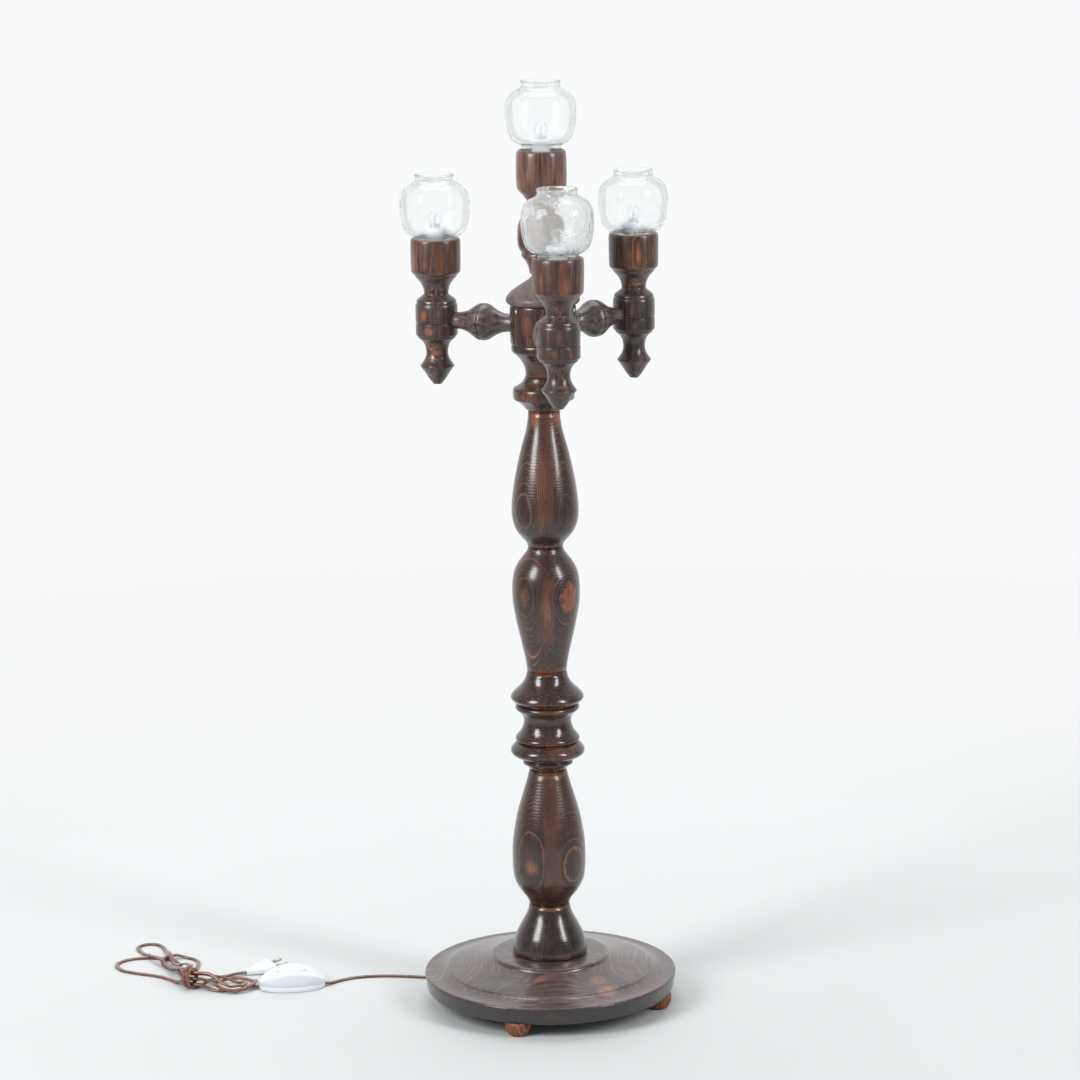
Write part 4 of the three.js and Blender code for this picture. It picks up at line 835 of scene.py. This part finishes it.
LIGHTS = [
    (polar(0, 0, CENTRE_CUP_HEIGHT), "shade_centre", 0, CALM_GLASS),
    (polar(ARM_DEGREES[0], ARM_REACH, ARM_CUP_HEIGHT), "shade_front", 2.04, SEEDY_GLASS),
    (polar(ARM_DEGREES[1], ARM_REACH, ARM_CUP_HEIGHT), "shade_right", 5.1, CALM_GLASS),
    (polar(ARM_DEGREES[2], ARM_REACH, ARM_CUP_HEIGHT), "shade_left", 5.1, CALM_GLASS),
]
for i, (cup, body, drop, shade_glass) in enumerate(LIGHTS, 1):
    holder_line = np.vstack([[HOLDER_FOOT], smooth_outline(HOLDER_OUTLINE, soft=0.25), [HOLDER_FLOOR]])
    holder = lathe(f"lampholder_piece_{i}", holder_line, 64)
    own(place(holder, cup), white, "white_plastic", f"lampholder_{i}")
    cap = lathe(f"bulb_cap_{i}", thread_line(), 48)
    own(place(cap, cup + [0, 0, BULB_BASE_HEIGHT]), bright, "bulb_metal", f"bulb_base_{i}")
    foot = cup + [0, 0, BULB_GLASS_HEIGHT]
    outer = catmull(BULB_OUTSIDE, 4)
    inner = outer * [0.93, 0.965] + [0, 0.35]
    bulb = lathe(f"bulb_{i}", np.vstack([[[0, 0.2]], outer, inner[::-1], [[0, 0.9]]]), 48)
    own(place(bulb, foot), bulb_glass, "bulb_glass", f"bulb_glass_{i}")
    stem = lathe(f"bulb_stem_{i}", BULB_STEM, 20)
    own(place(stem, foot), bulb_glass, "bulb_glass")
    wire_line = catmull(BULB_WIRE, 8)
    leads = tube(f"bulb_wires_{i}", wire_line, WIRE_SECTION, [WIRE_OUTWARDS] * len(wire_line))
    own(place(leads, foot, spun(CAMERA_TURN + 25 * i)), filament, "bulb_metal")
    cover = lathe(f"shade_{i}", shade_line(drop), 112, closed=True)
    look = glass(f"shade_glass_{i}", shift=i, **shade_glass)
    own(place(cover, cup), look, "shade_glass", f"glass_shade_{i}", body=body)

# Strain relief: block and ribbed sleeve
BLOCK_START, BLOCK_LENGTH, BLOCK_WIDTH, BLOCK_HEIGHT, BLOCK_MIDDLE = 62, 18, 9, 16, 18.2
SLEEVE_LENGTH, SLEEVE_HEIGHT, RIB_STEP, RIB_DEPTH = 20, 13.5, 3.2, 0.6
brown = plain("brown_plastic", "4a2f22", rough=0.4, speck=0.04)
sleeve_line = [[0, -0.3], [4.5, -0.3]]
for k in range(6):
    radius, start = 4.5 - 0.17 * k, RIB_STEP * k
    sleeve_line += [[radius, start + 0.6], [radius, start + 2.4]]
    sleeve_line += [[radius - RIB_DEPTH, start + 2.6], [radius - RIB_DEPTH, start + 3.4]]
sleeve_line += [[3.3, 19.8], [0, 19.8]]
gland = lathe("gland_sleeve", sleeve_line, 40)
place(gland, polar(LEAD_DEGREES, BLOCK_START + BLOCK_LENGTH, SLEEVE_HEIGHT), spun(LEAD_DEGREES) @ TIPPED)
gland_block = block("gland_block", (BLOCK_LENGTH, BLOCK_WIDTH, BLOCK_HEIGHT),
                    (BLOCK_START + BLOCK_LENGTH / 2, 0, BLOCK_MIDDLE), bevel=1.2)
place(gland_block, AXIS, spun(LEAD_DEGREES))
own(gland, brown, "brown_plastic")
own(gland_block, brown, "brown_plastic", "cord_gland")

# Flex: the same routes as the solids
FLEX_WIDTH, FLEX_THICKNESS = 5.2, 3.0
FLEX_HEIGHT = FLEX_THICKNESS / 2 + 0.1
SWITCH_X, SWITCH_Y, SWITCH_LENGTH, SWITCH_WIDTH = -319.5, 95.0, 84.0, 46.0
INLET_HEIGHT, INLET_DEPTH, END_GAP = 3.4, 6.0, 0.3
PLUG_X, PLUG_Y, PLUG_DEGREES, PLUG_LENGTH, PLUG_INLET_HEIGHT = -342.0, 166.0, 22.0, 36.0, 3.8


def flex_look():
    s = Shade("brown_flex")
    grit = s.noise(s.mm, 0.9, 3, 0.6)
    cloud = s.noise(s.mm, 1 / 30, 2)
    colour = s.mix(s.range(cloud, 0.3, 0.7), "56301f", "7c4a35")
    colour = s.mix(s.range(grit, 0.45, 0.75, 0, 0.3), colour, "946350")
    normal = s.bump(grit, 0.12, 0.0001)
    return s.set(Base_Color=colour, Roughness=0.26, Normal=normal, Coat_Weight=0.6, Coat_Roughness=0.12)


def twin_section():
    """Two round cores side by side with a soft valley between them, as (across, out) points."""
    radius, offset = FLEX_THICKNESS / 2, (FLEX_WIDTH - FLEX_THICKNESS) / 2
    points = []
    for k in range(24):
        c, n = math.cos(2 * math.pi * k / 24), math.sin(2 * math.pi * k / 24)
        in_valley = abs(c) <= 0.01
        flatter = 0.66 if in_valley else 0.93 if abs(c) < 0.3 else 1
        points.append((c * radius + (0 if in_valley else math.copysign(offset, c)), n * radius * flatter))
    return points


lead_way = polar(LEAD_DEGREES)
lead_start = polar(LEAD_DEGREES, BLOCK_START + BLOCK_LENGTH + SLEEVE_LENGTH + END_GAP, SLEEVE_HEIGHT)
FREE_ROUTE = [[-106, 84.5, 9.6], [-127, 95.5, 3.6], [-149, 102.5, FLEX_HEIGHT], [-170, 109, FLEX_HEIGHT],
              [-192, 114.5, FLEX_HEIGHT], [-215, 117, FLEX_HEIGHT], [-237, 115, FLEX_HEIGHT],
              [-255, 108, FLEX_HEIGHT], [-268, 99, 2]]
inlet_x = SWITCH_X + SWITCH_LENGTH / 2
free_points = catmull(np.vstack([lead_start, lead_start + lead_way * FLEX_WIDTH, FREE_ROUTE,
                                 [inlet_x + FLEX_THICKNESS, SWITCH_Y, INLET_HEIGHT],
                                 [inlet_x - INLET_DEPTH + END_GAP, SWITCH_Y, INLET_HEIGHT]]), 12)

# Hank: to and fro through a waist, then round it and on to the plug, each strand over the earlier ones
WAIST = np.array([-447.0, 112.0, 0.0])
ALONG = polar(323)
ACROSS = np.array([-ALONG[1], ALONG[0], 0])
REAR_LOBES = [(111, 142, 74, 26), (93, 122, 46, 8), (106, 190, 32, 0)]
FRONT_LOBES = [(-3, 82, 60, 0), (-9, 70, 40, 0)]
STRAND_SPACING, WAIST_RISE, ROW_RISE = 3.1, 7.6, 3.8
WINDING_RADIUS, WINDING_WIDTH, WINDING_TURNS, WINDING_STEPS = 12.4, 10.5, 1.5, 6
TIE_REACH, TAIL_REACH = 5.0, 20.0
SWITCH_TO_HANK = ((-380, 93), (-395, 89.5), (-412, 91), (-430, 100))
HANK_TO_PLUG = ((-416, 143), (-399, 148))
LAY_PER_SPAN, LAY_PASSES = 9, 12
CROSSING_WIDTH, CROSSING_RISE, CROSSING_RUN = 5.9, 3.6, 14
HUMP_TOP, HUMP_FOOT, HUMP_SLOPE = 5, 12, 2.2


def lobe(degrees, length, width, bend):
    """A loop out from the waist and back, from (turn, length, width, sideways bend)."""
    way = polar(degrees)
    side = np.array([-way[1], way[0], 0])
    half = width / 2
    straight, slant = length - half, half * math.sqrt(0.5)
    marks = [(straight * 0.5, half * 0.35), (straight, half), (straight + slant, slant), (length, 0)]
    marks += [(a, -o) for a, o in marks[-2::-1]]
    return [dict(p=WAIST + way * a + side * (o + bend * (a / length) ** 2)) for a, o in marks]


def waist(row, column, way):
    """Two points through the waist, where the strands lie side by side. The way is 1 from rear to front."""
    middle = WAIST + ACROSS * column * STRAND_SPACING
    rise = WAIST_RISE + row * ROW_RISE
    return [dict(p=middle + ALONG * side * TIE_REACH, rise=rise) for side in (-way, way)]


def winding():
    """Turns round the waist that hold the hank together."""
    steps = round(WINDING_TURNS * WINDING_STEPS)
    made = []
    for i in range(-1, steps + 1):
        turn = i / steps * WINDING_TURNS * 2 * math.pi
        outward = np.array([0, 0, math.cos(turn)]) - ACROSS * math.sin(turn)
        centre = WAIST + [0, 0, WINDING_RADIUS + FLEX_HEIGHT] + ALONG * WINDING_WIDTH * (i / steps - 0.5)
        made.append(dict(p=centre + outward * WINDING_RADIUS, outward=outward, held=True))
    made[0] = dict(p=made[0]["p"])
    return made


def on_floor(places):
    return [dict(p=np.array([x, y, 0.0])) for x, y in places]


def hank_route():
    """Points from the switch to the plug. A held one keeps its own height, and a rise is the least height."""
    plug_way = polar(PLUG_DEGREES)
    plug_rear = np.array([PLUG_X, PLUG_Y, PLUG_INLET_HEIGHT]) - plug_way * (PLUG_LENGTH + END_GAP)
    outlet_x = SWITCH_X - SWITCH_LENGTH / 2
    tail_start = WAIST + ALONG * WINDING_WIDTH / 2 + [0, 0, FLEX_HEIGHT]
    tail = [dict(p=tail_start + ACROSS * TAIL_REACH * share, held=True) for share in (0.5, 1)]
    tail += on_floor(HANK_TO_PLUG)
    tail += [dict(p=plug_rear - plug_way * FLEX_WIDTH, held=True), dict(p=plug_rear, held=True)]
    route = [dict(p=np.array([outlet_x + INLET_DEPTH - END_GAP, SWITCH_Y, INLET_HEIGHT]), held=True),
             dict(p=np.array([outlet_x - FLEX_WIDTH, SWITCH_Y, INLET_HEIGHT]), held=True)]
    route += on_floor(SWITCH_TO_HANK)
    for row in (0, 1):
        route += waist(row, -1, -1) + lobe(*REAR_LOBES[row]) + waist(row, 1, 1) + lobe(*FRONT_LOBES[row])
    route += waist(2, 0, -1) + lobe(*REAR_LOBES[2]) + winding()
    return route + [dict(entry, outward=np.array([0, 0, -1.0])) for entry in tail]


def hank_stations():
    """The hank's points and the ways that its flat side faces, with later strands over earlier ones."""
    route = hank_route()
    points = catmull([entry["p"] for entry in route], LAY_PER_SPAN)
    count = len(points)
    need, is_held = np.full(count, FLEX_HEIGHT), np.zeros(count, bool)
    outwards = np.tile([0.0, 0.0, 1.0], (count, 1))
    for i in range(count):
        span = min(i // LAY_PER_SPAN, len(route) - 2)
        share = i / LAY_PER_SPAN - span
        a, b = route[span], route[span + 1]
        near = a if share < 0.5 else b
        is_held[i] = bool(a.get("held") and b.get("held"))
        if "outward" in a and "outward" in b:
            mixed = a["outward"] * (1 - share) + b["outward"] * share
            outwards[i] = mixed / np.linalg.norm(mixed)
        at_mark = share in (0, 1)
        if is_held[i] or (near.get("held") and at_mark):
            need[i] = max(points[i][2], FLEX_HEIGHT)
        if "rise" in near and at_mark:
            need[i] = near["rise"]
    run = np.concatenate([[0], np.cumsum(np.linalg.norm(np.diff(points[:, :2], axis=0), axis=1))])
    held_count = np.cumsum(is_held)
    behind = run[None, :] <= run[:, None]
    one_stretch = np.where(behind, held_count[None, :] == held_count[:, None],
                           held_count[None, :] - is_held[None, :] == held_count[:, None])
    apart_run = run[:, None] - run[None, :]
    apart = np.linalg.norm(points[:, None, :2] - points[None, :, :2], axis=2)
    earlier = (apart_run >= CROSSING_RUN) & (apart < CROSSING_WIDTH)
    earlier &= np.arange(count)[:, None] > np.arange(count)[None, :]
    for _ in range(LAY_PASSES):
        rise = np.maximum(need - FLEX_HEIGHT, 0)
        ramp = HUMP_FOOT + HUMP_SLOPE * rise
        share = np.clip((np.abs(apart_run) - HUMP_TOP) / ramp[None, :], 0, 1)
        eased = 1 - share * share * (3 - 2 * share)
        hump = FLEX_HEIGHT + rise[None, :] * eased * one_stretch
        height = np.where(is_held, need, np.maximum(need, hump.max(1)))
        above = np.where(earlier, height[None, :] + CROSSING_RISE, -1).max(1)
        need = np.where(is_held, need, np.maximum(need, above))
    points[:, 2] = height
    return points, outwards


flex = flex_look()
hank_points, hank_outwards = hank_stations()
free = place(tube("flex_free", free_points, twin_section(), [(0, 0, 1)] * len(free_points)), AXIS)
own(free, flex, "brown_flex", "cord_free")
hank = place(tube("flex_hank", hank_points, twin_section(), hank_outwards), AXIS)
own(hank, flex, "brown_flex", "cord_hank")

# Foot switch: an oval shell, arched from end to end, with a seam and an oval button
SWITCH_EDGE, SWITCH_ARCH = 11, 14
BUTTON_LENGTH, BUTTON_WIDTH = 36, 20


def oval(t, length, width, power=2.25):
    x, y = (math.copysign(abs(v) ** (2 / power), v) for v in (math.cos(t), math.sin(t)))
    return length / 2 * x, width / 2 * y


def oval_shell(name, length, width, flat, arched=()):
    """Rings as shares of an oval: flat ones at a height, then ones that follow the arch, lower by a drop."""
    outline = [oval(2 * math.pi * k / 96, length, width) for k in range(96)]
    rings = [[(x * share, y * share, height) for x, y in outline] for share, height in flat]
    for share, drop in arched:
        top = SWITCH_EDGE + SWITCH_ARCH - drop
        rings.append([(x * share, y * share, top - SWITCH_ARCH * (x * share / (SWITCH_LENGTH / 2)) ** 2)
                      for x, y in outline])
    return skin(name, rings)


shell_low = oval_shell("switch_low_shell", SWITCH_LENGTH, SWITCH_WIDTH, [
    (0.955, 0.02), (0.985, 0.5), (0.997, 1.6), (1, 4), (1, 6.6), (0.985, 6.95), (0.9, 6.95)])
shell_high = oval_shell(
    "switch_high_shell", SWITCH_LENGTH, SWITCH_WIDTH, [(0.9, 7.3), (0.985, 7.3), (1, 7.7)],
    [(1, 2.2), (0.997, 1.2), (0.985, 0.5), (0.965, 0.25), (0.9, 0.1), (0.8, 0.05), (0.68, 0.03), (0.56, 0.02),
     (0.5, 0.02), (0.455, 0.3), (0.445, 1.6)])
button = oval_shell("switch_push_button", BUTTON_LENGTH, BUTTON_WIDTH, [(0.96, 12.02)], [
    (0.98, 1), (0.975, -0.5), (0.95, -0.95), (0.9, -1.1), (0.7, -1.15), (0.4, -1.18), (0.15, -1.18)])
for piece in (shell_low, shell_high, button):
    place(piece, (SWITCH_X, SWITCH_Y, 0))
own(shell_low, white, "white_plastic", "switch_base")
own(shell_high, white, "white_plastic", "switch_cover")
own(button, white, "white_plastic", "switch_button", body="button")

# Plug: a flat tapered body with two round pins, from sections (place along it, width, thickness)
PLUG_SECTIONS = [(-36, 8.6, 5.4), (-35.4, 10.4, 6.6), (-33, 11.2, 7.0), (-28, 14.5, 7.6), (-22, 20.5, 8.6),
                 (-16, 27, 9.7), (-11, 30.6, 10.9), (-6, 32.6, 12.2), (-2, 33.6, 13.4), (-0.6, 33.4, 13.4),
                 (0, 31.8, 12.2)]
PRONG_LINE = [[0, -8], [2, -8], [2, 17.4], [1.7, 18.4], [1.0, 18.9], [0, 19]]
PRONG_SIDE, PRONG_HEIGHT, PRONG_TILT = 9.5, 7.3, 5.7
PLUG_LIFT, PLUG_LEAST = 0.3, 6.6
plug_rings = []
for x, wide, thick in PLUG_SECTIONS:
    middle = max(thick, PLUG_LEAST) / 2 + PLUG_LIFT
    section = [oval(2 * math.pi * k / 48, wide, thick, 3.6) for k in range(48)]
    plug_rings.append([(x, y, z + middle) for y, z in section])
plug = place(skin("plug_shell", plug_rings), (PLUG_X, PLUG_Y, 0), spun(PLUG_DEGREES))
own(plug, white, "white_plastic", "plug_body")
pin_metal = plain("pin_metal", "a7a49e", rough=0.34, metallic=1.0, speck=0.08)
for i, side in enumerate((-PRONG_SIDE, PRONG_SIDE)):
    prong = lathe(f"plug_prong_{i + 1}", PRONG_LINE, 32)
    at = polar(PLUG_DEGREES + 90, side, PRONG_HEIGHT) + [PLUG_X, PLUG_Y, 0]
    place(prong, at, spun(PLUG_DEGREES) @ Matrix.Rotation(math.radians(90 - PRONG_TILT), 4, "Y"))
    own(prong, pin_metal, "pin_metal", f"plug_pin_{i + 1}")

# Steel that shows under the base
for name in ("threaded_rod", "base_washer", "base_nut", *(f"foot_screw_{i}" for i in range(1, 5))):
    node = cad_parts[name]
    node.data.materials.clear()
    node.data.materials.append(steel)

# Floor: a pale disc that fades into the pale surroundings. Its colour carries painted shade: greyer in front
# of the lamp, paler behind it.
FLOOR_RADIUS, FADE_START, FADE_END = 5.0, 0.5, 3.0


def make_stage():
    s = Shade("floor")
    # Painted shade: the floor's colour runs from greyer in front to paler behind the lamp
    colour = s.mix(s.range(s.axes(s.local)[1], -0.6, 2.1, smooth=True), "c2c6c7", "f0f2f3")
    cloud = s.range(s.noise(s.local, 1.4, 3), 0.3, 0.7, 0.985, 1.015)
    fade = s.range(s.vector("LENGTH", s.local), FADE_START, FADE_END, 1, 0, smooth=True)
    rim = [polar(360 * k / 96, FLOOR_RADIUS) for k in range(96)]
    floor = new_object("floor", rim, [tuple(range(len(rim)))])
    floor.location = COLUMN
    floor.rotation_euler.z = -math.radians(CAMERA_TURN)
    floor.data.materials.append(s.set(Base_Color=s.toned(colour, cloud), Roughness=0.75, Alpha=fade))


def softbox(name, at, aim, width, tall, power):
    data = bpy.data.lights.new(name, "AREA")
    data.shape = "RECTANGLE"
    data.size, data.size_y, data.energy = width, tall, power
    light = link(name, data)
    light.visible_camera = False
    light.location = from_front(*at)
    light.rotation_euler = (from_front(*aim) - light.location).to_track_quat("-Z", "Y").to_euler()


make_stage()
softbox("left_softbox", (-1.87, -1.51, 1.85), (0, 0, 0.75), 0.95, 1.55, 62)
softbox("right_softbox", (1.97, -1.38, 1.85), (0, 0, 0.75), 0.55, 1.55, 40)
softbox("top_softbox", (0, 0.95, 3.8), (0, 0.1, 0), 2.4, 2.2, 55)

# Surroundings: white to the eye, and in reflections brighter behind the lamp than in front of it
SEEN_WHITE, REFLECTED_FRONT, REFLECTED_BACK, BACK_FROM = 0.97, 0.31, 0.92, 0.6


def make_surroundings():
    world = bpy.data.worlds.new("world")
    world.use_nodes = True
    w = Nodes(world.node_tree)
    rays = w.node("ShaderNodeLightPath").outputs
    direct = w.math("MAXIMUM", Field(w, rays["Is Camera Ray"]), Field(w, rays["Is Transmission Ray"]))
    behind = w.vector("DOT_PRODUCT", w.coordinates("Generated"), polar(90 - CAMERA_TURN))
    around = w.range(behind, 0, BACK_FROM, REFLECTED_FRONT, REFLECTED_BACK)
    background = w.tree.nodes["Background"].inputs
    w.put(background["Strength"], w.range(direct, 0, 1, around, SEEN_WHITE))
    w.put(background["Color"], (0.985, 0.992, 1.0, 1))
    bpy.context.scene.world = world


make_surroundings()
bpy.context.scene.view_settings.view_transform = "Standard"
bpy.context.scene.view_settings.look = "None"
bpy.context.scene.view_settings.exposure = 0.0

bpy.context.view_layer.update()
